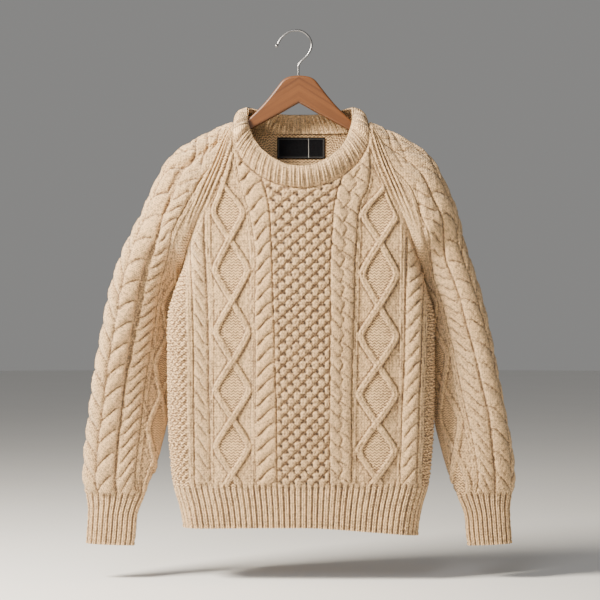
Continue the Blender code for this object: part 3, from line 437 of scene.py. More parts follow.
@functools.lru_cache(maxsize=None)
def surfaces():
    """The body's front (-1) and back (1), and the left (-1) and right (1) sleeve, as cloth."""
    body = {side: Cloth(-790, -100, 10, body_row(side), 61) for side in (-1, 1)}
    length = SLEEVE + CUFF
    sleeves = {hand: Cloth(-length, 0, length / 72, sleeve_row(hand, body)) for hand in (-1, 1)}
    for hand, sleeve in sleeves.items():
        sleeve.outward = -hand
    return body, sleeves


def neck_height(x, side):
    """Height of the neckline, at a distance from the body's middle."""
    if side < 0:
        deep = np.clip(1 - (np.abs(x) / NECK_HALF) ** NECK_SHAPE, 0, 1) ** (1 / NECK_SHAPE)
        return NECK_TOP - (NECK_TOP - NECK_LOW) * deep
    return BACK_NECK_TOP - (BACK_NECK_TOP - BACK_NECK_LOW) * np.clip(1 - (np.abs(x) / NECK_HALF) ** 4, 0, 1)


# ---------------------------------------------------------------- where the pattern's columns run

# Widths from the middle to the pattern's columns, up the left (-1) and right (1) half of the front. The
# lattice spreads towards the neck, and its middle wanders. They are seen from straight in front.
COLUMNS = (0, LATTICE, 73.5, 83, 139, 150, 172, 178.5)
RUNS = {
    -1: table(
        "height middle groove braid near far inner outer rib",
        (-689, -4.8, 36, 67, 74, 131, 135.5, 160, 165),
        (-662, -4.5, 36, 67.5, 74.4, 131.3, 136.5, 160.5, 165.8),
        (-445, -2.3, 40.8, 69.2, 76, 130.8, 141, 162, 168.8),
        (-317, -2.3, 45, 70.5, 79.5, 134, 146, 166, 172.5),
        (-257, -2.3, 50.3, 83.3, 88, 135, 147, 167, 173),
        (-242, -2.3, 54.2, 89.4, 94, 136, 147.5, 167, 173),
        (-197, -2.3, 70, 99, 104, 138, 148, 168, 174),
    ),
    1: table(
        "height middle groove braid near far inner outer rib",
        (-689, 4.8, 42.5, 75, 83, 144, 148.5, 173, 179),
        (-662, 4.5, 42.5, 75.3, 83, 144, 149.5, 173.3, 179.4),
        (-445, 2.3, 44.1, 78, 86.3, 147, 158, 181.5, 188),
        (-317, 2.3, 45.6, 84, 91, 147, 160, 184, 190),
        (-257, 2.3, 52, 91.2, 95, 147, 160, 182, 188),
        (-242, 2.3, 56, 99, 103, 148, 161, 182, 188),
        (-197, 2.3, 74, 104, 108, 149, 161, 182, 188),
    ),
}
# Heights at which the bands of the diamonds cross.
CROSSINGS = {
    -1: (-755, -668, -584.7, -498.8, -408.8, -315.3, -231.8, -150),
    1: (-760, -674.3, -591.6, -505.5, -416.3, -320, -236, -154),
}
# Columns of each sleeve, across from its outer edge towards the front: the middle and the edge of the
# plait, and the two edges of the rope.
SLEEVE_RUNS = {
    -1: table(
        "down middle edge inner outer",
        (0, 3, 24, 28, 48),
        (80, 6, 30, 36, 60),
        (113, 8, 34, 42, 74),
        (140, 15, 44, 51, 78),
        (165, 19, 50, 54, 78),
        (187, 18, 49, 53, 77),
        (210, 14, 44, 49, 74),
        (249, 12, 39, 48, 74),
        (283, 14, 41, 50, 76),
        (340, 16.5, 44, 53, 80),
        (420, 18.5, 45, 51, 80),
        (478, 19.5, 47, 50, 80),
        (541, 22, 49.5, 52, 82),
        (600, 25, 52, 56, 84),
        (SLEEVE, 22, 48, 52, 80),
    ),
    1: table(
        "down middle edge inner outer",
        (0, 6, 26, 28, 46),
        (113, 12, 38, 40, 66),
        (165, 18, 46, 49, 80),
        (213, 18, 46, 49, 79),
        (306, 8, 32, 34, 65),
        (390, 3, 28, 30, 60),
        (507, 1, 25, 27.5, 59),
        (579, 8, 33, 36, 60.5),
        (610, 10, 34, 37, 60),
        (SLEEVE, 5, 29, 31, 58),
    ),
}
# How far down a sleeve the bands of its diamonds cross.
SLEEVE_CROSSINGS = {
    -1: (135, 245, 363, 479, 588, 700),
    1: (135, 245, 350, 462, 578, 692),
}
# How strongly each sleeve's broad plait is drawn, and its rope.
SLEEVE_DEPTH = {-1: (1.0, 1.1), 1: (0.68, 0.9)}
# The main creases over each shoulder, as lines of (across, along), each with its depth and its width.
CREASES = {
    -1: (
        (2.6, 1.8, ((8, -22), (26, -37), (36, -55))),
        (3.2, 2.0, ((4, -45), (24, -52), (33, -65), (47, -79))),
        (3.2, 2.0, ((1, -63), (26, -76), (36, -91), (35, -105), (23, -119))),
        (2.6, 1.8, ((34, -120), (40, -134), (40, -149), (24, -166))),
        (2.0, 1.6, ((65, -88), (70, -105), (78, -116))),
        (2.0, 1.6, ((74, -123), (78, -137), (78, -152))),
        (2.2, 1.8, ((2, -104), (2, -92), (17, -88))),
    ),
    1: (
        (1.7, 2.3, ((7, -43), (24, -69), (38, -86))),
        (1.7, 2.3, ((1, -28), (30, -51), (49, -85))),
        (1.2, 2.3, ((21, -73), (8, -92), (7, -112))),
        (3.0, 5.0, ((60, -119), (79, -153), (89, -178), (77, -239))),
    ),
}


def mapped(x, knots, marks):
    """x carried from the knots to the marks in straight stretches. Each knot may be an array."""
    out = marks[0]
    for k in range(len(knots) - 1):
        out = out + np.clip((x - knots[k]) / (knots[k + 1] - knots[k]), 0, 1) * (marks[k + 1] - marks[k])
    return out


def pattern_column(across, height, side):
    """The column of the body's pattern at a place on the cloth, from -222 to 222."""
    at = height if side < 0 else np.minimum(height, -257.0)
    edge = body_reach(height, side)
    out = 0
    for hand in (-1, 1):
        rows = RUNS[hand]
        knots = [soft(at, rows["height"], rows[k]) for k in list(rows)[1:]]
        knots = [round_the_side(k, height, side) for k in knots] + [np.maximum(edge, knots[-1] + 8)]
        out = out + hand * mapped(hand * across, knots, COLUMNS + (PANEL_EDGE,))
    return out


def sleeve_column(across, along, hand):
    """The column of a sleeve's pattern, counted from the middle of its plait towards the front."""
    rows = SLEEVE_RUNS[hand]
    knots = [soft(-along, rows["down"], rows[k]) for k in list(rows)[1:]]
    knots.append(knots[-1] + 200)
    marks = (0, PLAIT_HALF, SLEEVE_ROPE - SLEEVE_ROPE_HALF, SLEEVE_ROPE + SLEEVE_ROPE_HALF, 256)
    front = mapped(across, knots, marks)
    return np.where(across > knots[0], front, across - knots[0])


def turns(x, places):
    """How many of the places x has passed, with shares between."""
    return np.interp(x, places, np.arange(len(places)))


def uneven(x, y, seed):
    """A slow wander between about -1 and 1, as hand knitting has."""
    return (
        np.sin(x / 31 + y / 47 + seed)
        + np.sin(x / 17 - y / 29 + 2.1 * seed)
        + np.sin(-x / 53 + y / 19 + 3.7 * seed)
    ) / 2.2


# ---------------------------------------------------------------- the knitted relief


def dome(x):
    return np.sqrt(np.clip(1 - x * x, 0, 1))


def dent(distance, wide):
    return np.exp(-((distance / wide) ** 2))


def pointed(phase, power=0.6):
    """A leaf's rise over one turn of its phase, with a sharp crease at whole numbers."""
    return dome(2 * (phase % 1) - 1) ** power


def rope(a, turn, slope):
    """Strands that lie over each other at a slant, for a from -1 to 1 across the rope."""
    phase = turn - slope * np.sin(np.clip(a, -1, 1) * math.pi / 2)
    return dome(a) ** 0.7 * (0.04 + 0.96 * pointed(phase, 0.85))


def plait(a, turn, slope):
    """Two columns of leaves that part from the middle like a row of V's where slope is above 0."""
    # Each leaf ends in a round head at the plait's edge.
    phase = turn - slope * np.abs(a) + 0.3 * np.abs(a) ** 4 + 0.5 * (a < 0)
    leaf = pointed(phase, 0.95) * dome(2 * np.abs(a) - 1) ** 0.8
    return (0.08 * dome(a) + 0.92 * leaf) * (np.abs(a) < 1)


def braid(a, turn, hand):
    """Slanted leaves that rise towards the inner side, where a is -1. The left braid's leaves are whole
    and have a wedge of shade at their outer end, and the right one's stand in two columns."""
    middle = 0.14 * np.sin(2 * math.pi * turn)
    outer = a > middle
    b = np.where(outer, (2 * a - 1 - middle) / (1 - middle), (2 * a + 1 - middle) / (1 + middle))
    double = (0.08 + 0.92 * pointed(turn + 0.34 * b + np.where(outer, 0.5, 0.0), 0.8)) * dome(b) ** 0.5
    phase = turn + 0.5 * np.sin(a * 1.45) + 0.08 * a * a
    crease = np.abs((phase + 0.5) % 1 - 0.5)
    wedge = 0.6 * dent(a - 0.42, 0.3) * dent(crease, 0.13)
    whole = dome(a) ** 0.6 * (0.05 + 0.95 * pointed(phase, 0.8)) - wedge
    return np.where(hand < 0, whole, double) * (np.abs(a) < 1)


def ridge(distance, half):
    return dome(distance / half) * (np.abs(distance) < half)


def twin_ridge(distance, half):
    """A knitted line: two thin strands side by side."""
    return ridge(distance, half) - 0.35 * dent(distance, half / 4)


def lattice(p, q):
    """Slanted knots at the corners and the middles of a net of cells, with dark gaps between."""
    rise = 0.30 + 0 * p
    gaps = 0
    for shift in (0.0, 0.5):
        x, y = cell(p, q, shift, 0, 0)
        long, wide = 0.42 * x + 0.91 * y, 0.91 * x - 0.42 * y
        knot = dome(np.hypot(long / 6.9, wide / 5.9)) ** 0.75 - 0.3 * dent(wide - 0.3, 1.0) * dent(long, 4.5)
        rise = np.maximum(rise, knot)
        x, y = cell(p, q, shift, 0.4, CELL_HIGH / 2)
        gaps = gaps + 0.9 * dent(0.55 * x + 0.83 * y, 2.6) * dent(0.83 * x - 0.55 * y, 1.3)
    return rise - gaps - 1.3 * lattice_holes(p, q)


def lattice_holes(p, q):
    """1 in the holes beside the lattice's knots and 0 off them."""
    return sum(dent(np.hypot(*cell(p, q, shift, -6.0, -1.4)), 1.8) for shift in (0.0, 0.5))


def cell(p, q, shift, right, up):
    """Where a place lies from the nearest knot of one half of the net, moved right and up."""
    x = (((p - right) / CELL_WIDE + 0.5 + shift) % 1 - 0.5) * CELL_WIDE
    y = (((q - up) / CELL_HIGH + 0.5 + shift) % 1 - 0.5) * CELL_HIGH
    return x, y


def spread_at(turn, half):
    """How far a diamond's bands lie from its middle. They bend softly at their widest."""
    return half * (1.01 - np.hypot(2 * (turn % 1) - 1, 0.14))


def diamond_bands(x, turn, half, slant):
    """Two bands that cross at whole turns. x is the distance from their middle, slant the share of a
    distance across that is square to a band."""
    part, spread = turn % 1, spread_at(turn, half)
    rise, groove = 0 * x, 0
    for edge in (-1, 1):
        # The strand that leans to the right lies over the other one where they cross.
        upper = (part < 0.5) if edge > 0 else (part > 0.5)
        over = np.where(upper, 0.18, -0.12) * dent(spread, 6)
        square = (x - edge * spread) * slant
        rise = np.maximum(rise, twin_ridge(square, 4.5) + over * (np.abs(square) < 4.5))
        groove = groove + dent(edge * square - 5.0, 0.9)
        if edge < 0:
            groove = groove + 0.8 * dent(square - 5.0, 0.9) * (part > 0.5)
    return rise - 0.32 * np.clip(groove, 0, 1) * (rise < 0.05)


def seam_room(across, height, side):
    """How far a place on a body panel lies from its raglan seam or side seam."""
    edge = np.where(height > UNDERARM, raglan_across(height, side), body_reach(height, side))
    return edge - np.abs(across)


def seam_fade(across, height, side):
    """1 over a body panel and 0 at its raglan seams and neckline, and further from them under the arm."""
    room = seam_room(across, height, side)
    above = step_up(height, UNDERARM - 130, UNDERARM - 10)
    corner_room = 9 * above * (1 - step_up(height, UNDERARM + 50, UNDERARM + 120))
    fade = 1 - above * (1 - step_up(room, 0.3, 2.5 + corner_room))
    return fade * step_up(neck_drop(across, height, side), 0.3, 4)


def neck_drop(across, height, side):
    """How far a place lies below the neckline."""
    if side > 0:
        return neck_height(across, side) - height
    deep = np.clip(NECK_TOP - height, 0, 500) / (NECK_TOP - NECK_LOW)
    return (((np.abs(across) / NECK_HALF) ** NECK_SHAPE + deep**NECK_SHAPE) ** (1 / NECK_SHAPE) - 1) * 90


def body_place(across, height, side):
    """The pattern's column and its height above the hem, with the wander of hand knitting."""
    p = pattern_column(across, height, side) + 0.5 * uneven(across, height, side)
    return p, height - HEM_SEAM + 0.7 * uneven(height, across, 2.0)


def body_pit_shade(across, height, side):
    """Where a body panel's knots leave deep holes, as a mask for the painted shade in them."""
    p, q = body_place(across, height, side)
    holes = np.clip(1.7 * lattice_holes(p, q), 0, 1) * (np.abs(p) < LATTICE - 3)
    return holes * seam_fade(across, height, side)


def body_relief(across, height, side, knit):
    """How far the knitted pattern stands out on the front (side -1) or back (side 1)."""
    p, q = body_place(across, height, side)
    size, hand = np.abs(p), np.where(p < 0, -1, 1)
    cable = knit["cable"]
    rise = np.where(size < LATTICE - 1, knit["bobble"] * lattice(p, q), 0.0)
    a = (size - BRAID) / BRAID_HALF
    rise = np.where(np.abs(a) < 1, cable * braid(a, q / BRAID_PITCH, hand), rise)
    for x, half in FINE_RIBS:
        rise = np.maximum(rise, knit["rib"] * ridge(size - x, half))
    for side_hand in (-1, 1):
        x = p - side_hand * DIAMOND
        band = knit["band"] * diamond_bands(x, turns(height, CROSSINGS[side_hand]), DIAMOND_HALF, 0.84)
        near = np.abs(x) < DIAMOND_HALF + 5.5
        rise = np.where(near, np.where(rise > 0.3, np.maximum(rise, band), band + rise), rise)
    a = (size - ROPE) / ROPE_HALF
    rise = np.where(np.abs(a) < 1, cable * rope(a, (q + 6) / ROPE_PITCH, 0.5), rise)
    for x, depth, width in PURL_ROWS:
        rise = rise - depth * dent(size - x, width) * dots(q)
    rise = rise - np.where(hand > 0, 1.8, 0.9) * dent(size - 73.9, 1.1)
    rise = rise + 2.9 * big_moss(p, q) * step_up(size, MOSS_FROM, MOSS_FROM + 2)
    room = seam_room(across, height, side)
    by_seam = step_up(height, UNDERARM + 20, UNDERARM + 60)
    rise = rise * (1 - by_seam * (1 - step_up(room, 7, 11)))
    rise = rise + 2.4 * by_seam * ridge(room - 4.4, 2.5)
    rise = rise + 0.4 + 0.5 * uneven(across / 2, height / 2, 5.0) + lumps(across, height, 1.3)
    ribs = rib_lift((across / body_reach(height, side) + 1) / 2 * HEM_RIBS, knit["edge_rib"])
    rise = rise + (ribs - rise) * (1 - step_up(height, HEM_SEAM + 2, HEM_SEAM + 10))
    return rise * seam_fade(across, height, side)


def dots(y):
    """A row of purl stitches: a hole for each stitch of the height."""
    return 0.55 + 0.45 * np.cos(y * 2 * math.pi / STITCH_HIGH)


def big_moss(x, y):
    """Rows of chunky stitches, each row half a stitch along from the last."""
    x, y = x + 1.6 * np.sin(y / 9), y + 1.8 * np.sin(x / 7)
    return 0.9 * np.cos(x * 2 * math.pi / 9.4) * np.cos(y * 2 * math.pi / 12.6)


def lumps(x, y, rough=1.0):
    """The small bumps and hollows of hand-knitted stitches."""
    broad = 0.22 * uneven(x * 14, y * 13, 1.3) + 0.16 * uneven(y * 9, x * 11, 4.1)
    return broad + 0.16 * rough * uneven(x * 25, y * 23, 2.6)


def body_moss(across, height, side):
    """1 where the body is knitted in moss stitch: inside the diamonds and beside the ribs."""
    p = pattern_column(across, height, side)
    moss = step_up(np.abs(p), MOSS_FROM - 1, MOSS_FROM + 1)
    for hand in (-1, 1):
        spread = spread_at(turns(height, CROSSINGS[hand]), DIAMOND_HALF)
        moss = np.maximum(moss, 1 - step_up(np.abs(p - hand * DIAMOND) - spread, -5, -3.5))
    return moss


def body_lean(across, height, side):
    """The slant of the stitches, in degrees from upright towards the right of the picture."""
    p = pattern_column(across, height, side)
    size, hand = np.abs(p), np.where(p < 0, -1, 1)
    lean = np.where(np.abs(size - BRAID) < BRAID_HALF, -38.0 * hand, 0.0)
    return np.where(np.abs(size - ROPE) < ROPE_HALF, 40.0 * hand, lean) * -side


def sleeve_relief(across, along, hand, knit):
    """How far the pattern stands out on a sleeve, with across counted towards the front."""
    cloth = surfaces()[1][hand]
    p = sleeve_column(across, along, hand) + 0.5 * uneven(across, along, hand + 4.0)
    q = along + 0.7 * uneven(along, across, 3.0)
    size = np.abs(p)
    a = p / PLAIT_HALF
    broad, narrow = SLEEVE_DEPTH[hand]
    # The leaves lie steeper over the shoulder, and the rope is pulled flat there.
    shoulder = 1 - step_up(-along, 60, 170)
    rise = broad * knit["plait"] * plait(a, (q + 249) / PLAIT_PITCH + 0.9, 1.02 + 0.5 * shoulder)
    rise = rise * (1 - 0.3 * shoulder)
    a = (size - SLEEVE_ROPE) / SLEEVE_ROPE_HALF
    strands = rope(a, q / SLEEVE_ROPE_PITCH, 0.72)
    strands = strands + (0.5 * dome(a) ** 0.7 - strands) * 0.75 * (1 - step_up(-along, 85, 135))
    rise = np.where(np.abs(a) < 1, knit["cable"] * narrow * strands, rise)
    for x, half in SLEEVE_RIBS:
        rise = np.maximum(rise, knit["rib"] * ridge(size - x, half))
    turn = turns(-along, SLEEVE_CROSSINGS[hand])
    band = knit["band"] * 0.85 * diamond_bands(size - SLEEVE_DIAMOND, turn, SLEEVE_DIAMOND_HALF, 0.93)
    near = np.abs(size - SLEEVE_DIAMOND) < SLEEVE_DIAMOND_HALF + 5.5
    rise = np.where(near, np.maximum(rise, band * step_up(-along, 205, 240)), rise)
    rise = rise - np.where(hand < 0, 1.3, 0.8) * dent(size - 28, 1.5) * dots(q)
    rise = rise - 0.9 * dent(size - 56.4, 1.2) * dots(q)
    edge = np.where(across > 0, cloth.reach(along, 1), cloth.reach(along, -1))
    room = edge - np.abs(across)
    by_seam = 1 - step_up(-along, CAP - 60, CAP - 20)
    for deep, wide, points in CREASES[hand]:
        rise = rise - deep * dent(off_line(across, along, points), wide)
    rise = rise * (1 - by_seam * (1 - step_up(room, 16, 20)))
    for line in RAGLAN_RIBS:
        rise = rise + 2.4 * by_seam * ridge(room - line, 2.5)
    for line in RAGLAN_HOLES:
        rise = rise - 1.5 * by_seam * dent(room - line, 0.9) * dots(q)
    cap = 1 - step_up(-along, CAP, CAP + 40)
    tucked = step_up(-along, CAP - 110, CAP - 50) * (1 - step_up(-along, 560, 600))
    fade = 1 - cap * (1 - step_up(room, 0.3, 2.5))
    fade = fade * (1 - tucked * (1 - step_up(room, 2, 30)))
    rough = np.where(hand < 0, 3.0, 1.3 + 1.6 * step_up(-along, 150, 300))
    rise = rise + 0.4 + 0.5 * uneven(across / 2, along / 2, hand) + lumps(across, along, rough)
    ribs = rib_lift((across / edge + 1) / 2 * CUFF_RIBS, knit["edge_rib"])
    rise = rise + (ribs - rise) * step_up(-along, SLEEVE - 9, SLEEVE - 2)
    return rise * fade * step_up(-along, 0.3, 4)


def off_line(x, y, points):
    """Distance from a line of straight stretches."""
    best = np.full(np.shape(x), 1e3)
    for (x0, y0), (x1, y1) in zip(points, points[1:]):
        long = math.hypot(x1 - x0, y1 - y0)
        t = np.clip(((x - x0) * (x1 - x0) + (y - y0) * (y1 - y0)) / long**2, 0, 1)
        best = np.minimum(best, np.hypot(x - x0 - t * (x1 - x0), y - y0 - t * (y1 - y0)))
    return best


def sleeve_moss(across, along, hand):
    size = np.abs(sleeve_column(across, along, hand))
    spread = spread_at(turns(-along, SLEEVE_CROSSINGS[hand]), SLEEVE_DIAMOND_HALF)
    inside = 1 - step_up(np.abs(size - SLEEVE_DIAMOND) - spread, -5, -3.5)
    return np.maximum(inside, step_up(size, SLEEVE_MOSS_FROM, SLEEVE_MOSS_FROM + 1))


def sleeve_lean(across, along, hand):
    p = sleeve_column(across, along, hand)
    size = np.abs(p)
    lean = np.where(size < PLAIT_HALF, 34.0 * np.sign(p), 0.0)
    return np.where(np.abs(size - SLEEVE_ROPE) < SLEEVE_ROPE_HALF, 36.0 * np.sign(p), lean)


def hollows(relief, x, y, unit):
    """From 0 to 1, how deep a place lies below the cloth round it, which the wool's finish turns into painted
    shade. The unit is the size of 1 in x and y.
    """
    here = relief(x, y)
    total = 0
    for reach in (2.2, 4.5):
        for k in range(6):
            turn = k * math.pi / 3
            total = total + relief(x + reach * math.cos(turn) / unit[0], y + reach * math.sin(turn) / unit[1])
    return np.clip((total / 12 - here) / 1.1, 0, 1)


# ---------------------------------------------------------------- making walls


def laced(a, b, at_a, at_b):
    """Faces between two lines of points, given how far along its line each point stands."""
    faces, i, j = [], 0, 0
    last_a, last_b = len(a) - 1, len(b) - 1
    while i < last_a or j < last_b:
        if i < last_a and j < last_b and abs(at_a[i + 1] - at_b[j + 1]) < 1e-6:
            faces.append((a[i], b[j], b[j + 1], a[i + 1]))
            i, j = i + 1, j + 1
        elif j == last_b or (i < last_a and at_a[i + 1] < at_b[j + 1]):
            faces.append((a[i], b[j], a[i + 1]))
            i += 1
        else:
            faces.append((a[i], b[j], b[j + 1]))
            j += 1
    return [f for f in faces if len(set(f)) == len(f)]


def spaced(start, stop, step):
    return np.linspace(start, stop, max(1, int(round(abs(stop - start) / step))) + 1)


class Wall:
    """A closed wall in the making. Places holds where each point lies on the cloth, and its lift says
    whether it belongs to the outer side."""

    def __init__(self):
        self.places, self.outer, self.faces = [], [], []
        self.count = 0

    def add(self, places, outer):
        first = self.count
        self.places.append(np.asarray(places, float))
        self.outer.append(np.full(len(places), outer))
        self.count += len(places)
        return first + np.arange(len(places))

    def column_sheet(self, xs, across, top, low, step, outer):
        """Points up columns that end at different heights, and the faces between them."""
        levels = np.arange(1, 2000) * step + low
        lines, heights = [], []
        for x in xs:
            end = float(top(x))
            at = np.concatenate([[low], levels[levels < end - step * 0.45], [end]])
            lines.append(self.add(np.stack([across(x, at), at], axis=1), outer).tolist())
            heights.append(at.tolist())
        for a, b, at_a, at_b in zip(lines, lines[1:], heights, heights[1:]):
            faces = laced(a, b, at_a, at_b)
            self.faces += faces if outer else [f[::-1] for f in faces]
        return lines, heights

    def grid_sheet(self, shares, drops, shut, outer):
        """A grid of points, whose rows are closed round where shut is true."""
        grid = np.zeros((len(drops), len(shares)), int)
        for i, drop in enumerate(drops):
            row = shares[:-1] if shut[i] else shares
            ids = self.add(np.stack([row, np.full(len(row), drop)], axis=1), outer)
            grid[i] = np.append(ids, ids[0]) if shut[i] else ids
        quads = np.stack([grid[:-1, :-1], grid[:-1, 1:], grid[1:, 1:], grid[1:, :-1]], axis=-1)
        quads = quads.reshape(-1, 4) if outer else quads.reshape(-1, 4)[:, ::-1]
        self.faces += quads.tolist()
        return grid

    def band(self, sizes, fine_step, coarse_step, closed):
        """Both sides of a band of cloth and the rims between them. Each step is given across and down."""
        grids = []
        for (wide, tall), outer in ((fine_step, True), (coarse_step, False)):
            shares, drops = spaced(0, 1, wide / sizes[0]), spaced(0, 1, tall / sizes[1])
            grids.append((self.grid_sheet(shares, drops, [closed] * len(drops), outer), shares, drops))
        (fine, shares, drops), (coarse, few, far) = grids
        self.rim(fine[0], coarse[0], shares, few)
        self.rim(coarse[-1], fine[-1], few, shares)
        if not closed:
            self.rim(fine[:, -1], coarse[:, -1], drops, far)
            self.rim(coarse[:, 0], fine[:, 0], far, drops)

    def rim(self, a, b, at_a, at_b):
        self.faces += [f[::-1] for f in laced(list(a), list(b), list(at_a), list(at_b))]

    def finish(self, name, place, relief, thickness, slot, marks):
        """Makes the mesh. Place turns places and lifts into points, and marks says what its finish needs."""
        places, outer = np.vstack(self.places), np.concatenate(self.outer)
        x, y = places.T
        # The deepest holes stop short of the wall's inner side.
        deepest = LEAST_WALL - thickness(x, y)
        lift = np.where(outer, np.maximum(relief(x, y), deepest), -thickness(x, y))
        points = place(x, y, lift)
        faces = self.faces if volume(points, self.faces) > 0 else [f[::-1] for f in self.faces]
        obj = mesh_piece(name, points, faces, slot)
        unit = marks.get("unit", (1, 1))
        # Painted shade: the hollow mark darkens the wool where a point lies below the cloth round it, and
        # more faintly between the ribs of a wall's inner side.
        inner_hollow_shade = 0.35 * hollows(thickness, x, y, unit)
        add_marks(obj, "hollow", np.where(outer, hollows(relief, x, y, unit), inner_hollow_shade))
        moss, pit_shade, lean = (marks[key](x, y) if key in marks else 0 * x for key in ("moss", "pit_shade", "lean"))
        add_marks(obj, "moss", np.where(outer, moss, marks.get("inner_moss", 1.0)))
        add_marks(obj, "pit_shade", np.where(outer, pit_shade, 0))
        stitches = marks["size"](x, y) if "size" in marks else (x, y)
        add_stitches(obj, *stitches, lean, marks.get("shift", 0.0))
        return obj


def volume(points, faces):
    """Six times the volume inside the faces."""
    tris = np.array([(f[0], f[k], f[k + 1]) for f in faces for k in range(1, len(f) - 1)])
    a, b, c = (points[tris[:, k]] for k in range(3))
    return (a * np.cross(b, c)).sum()


def mesh_piece(name, points, faces, slot):
    mesh = bpy.data.meshes.new(name)
    mesh.from_pydata((points * MM).tolist(), [], faces)
    mesh.shade_smooth()
    mesh.materials.append(bpy.data.materials[FINISH_NAMES[slot]])
    obj = bpy.data.objects.new(name, mesh)
    bpy.context.scene.collection.objects.link(obj)
    return obj


def add_marks(obj, name, values):
    obj.data.attributes.new(name, "FLOAT", "POINT").data.foreach_set("value", np.asarray(values, np.float32))


def add_stitches(obj, x, y, lean, shift):
    """UVs that count stitches across and rows up, slanted by the lean of each face's stitches."""
    mesh = obj.data
    ends = np.zeros(len(mesh.loops), int)
    mesh.loops.foreach_get("vertex_index", ends)
    start, total = np.zeros(len(mesh.polygons), int), np.zeros(len(mesh.polygons), int)
    mesh.polygons.foreach_get("loop_start", start)
    mesh.polygons.foreach_get("loop_total", total)
    turn = np.radians(np.repeat(np.round(lean)[ends[start]], total))
    x, y = x[ends], y[ends]
    across, up = x * np.cos(turn) - y * np.sin(turn), x * np.sin(turn) + y * np.cos(turn)
    uv = np.stack([across / STITCH_WIDE + shift, up / STITCH_HIGH], axis=1)
    mesh.uv_layers.new(name="stitches").data.foreach_set("uv", uv.astype(np.float32).ravel())


# ---------------------------------------------------------------- the knitted pieces


def heights_of(context):
    """The pattern's heights from the panel, in millimetres."""
    knit = context.scene.pullover_knit
    names = ("bobble", "cable", "band", "plait", "rib", "edge_rib")
    return {name: getattr(knit, name + "_rise") / MM for name in names}


def body_top(side):
    """The height at which a column of a body panel ends: at the raglan seam or the neckline."""
    tip = TIP[side]
    heights = np.linspace(UNDERARM, tip, 200)
    seam = np.array([raglan_across(h, side) for h in heights]) - SEAM / 2
    seam -= 0.7 * step_up(heights, tip - 18, tip)
    seam[0] = max(seam[0], body_reach(UNDERARM, side) - SEAM / 2)
    order = np.argsort(seam)

    def top(x):
        size = abs(x) * body_reach(UNDERARM, side) / PANEL_EDGE
        neck = neck_height(min(size, NECK_HALF - 3.5), side)
        neck += (tip - neck) * np.clip((size - NECK_HALF + 3.5) / 2.2, 0, 1)
        return min(np.interp(size, seam[order], heights[order]), neck)

    return top


def body_thickness(across, height, side):
    """A panel thins out where its tip runs up between the neckband and the sleeve."""
    tip = TIP[side]
    return WALL * (1 - 0.75 * step_up(height, tip - 35, tip - 8) * step_up(np.abs(across), 78, 92))


def build_body(side, step, knit):
    """The front (side -1) or back (side 1) panel."""
    cloth = surfaces()[0][side]
    name = "knit_front" if side < 0 else "knit_back"

    def across(x, height):
        share = np.where(height > UNDERARM, body_reach(UNDERARM, side), body_reach(height, side))
        return x / PANEL_EDGE * (share - SEAM / 2)

    def inner_across(x, height):
        tip = TIP[side]
        room = MITRE * step_up(height, -300, -210) * (1 - step_up(height, tip - 30, tip - 4))
        wide = across(x, height)
        by_seam = step_up(np.abs(wide), raglan_across(height, side) - 24, raglan_across(height, side) - 1)
        return wide - np.sign(wide) * room * by_seam

    def relief(x, y):
        return body_relief(x, y, side, knit)

    wall, low = Wall(), HEM_SEAM + SEAM / 2
    fine, coarse = (spaced(-PANEL_EDGE, PANEL_EDGE, size) for size in (step, INNER_STEP))
    lines, at = wall.column_sheet(fine, across, body_top(side), low, step, True)
    inner, inner_at = wall.column_sheet(coarse, inner_across, body_top(side), low, INNER_STEP, False)
    wall.rim([k[0] for k in lines], [k[0] for k in inner], fine, coarse)
    wall.rim(lines[-1], inner[-1], at[-1], inner_at[-1])
    wall.rim([k[-1] for k in inner], [k[-1] for k in lines], coarse, fine)
    wall.rim(inner[0], lines[0], inner_at[0], at[0])
    marks = {
        "moss": lambda x, y: body_moss(x, y, side),
        "lean": lambda x, y: body_lean(x, y, side),
        "pit_shade": lambda x, y: body_pit_shade(x, y, side),
    }
    thickness = functools.partial(body_thickness, side=side)
    obj = wall.finish(name, cloth.place, relief, thickness, "wool", marks)
    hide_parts("front" if side < 0 else "back")
    settle(obj)


def settle(obj):
    """Hangs a knitted piece on the root body."""
    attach(obj, "root")


def sleeve_thickness(across, along, cloth):
    """A sleeve thins out at the corners of its top edge."""
    corner_share = step_up(np.abs(cloth.share(across, along)), 0.5, 0.8)
    return WALL * (1 - 0.75 * corner_share * (1 - step_up(-along, 8, 40)))


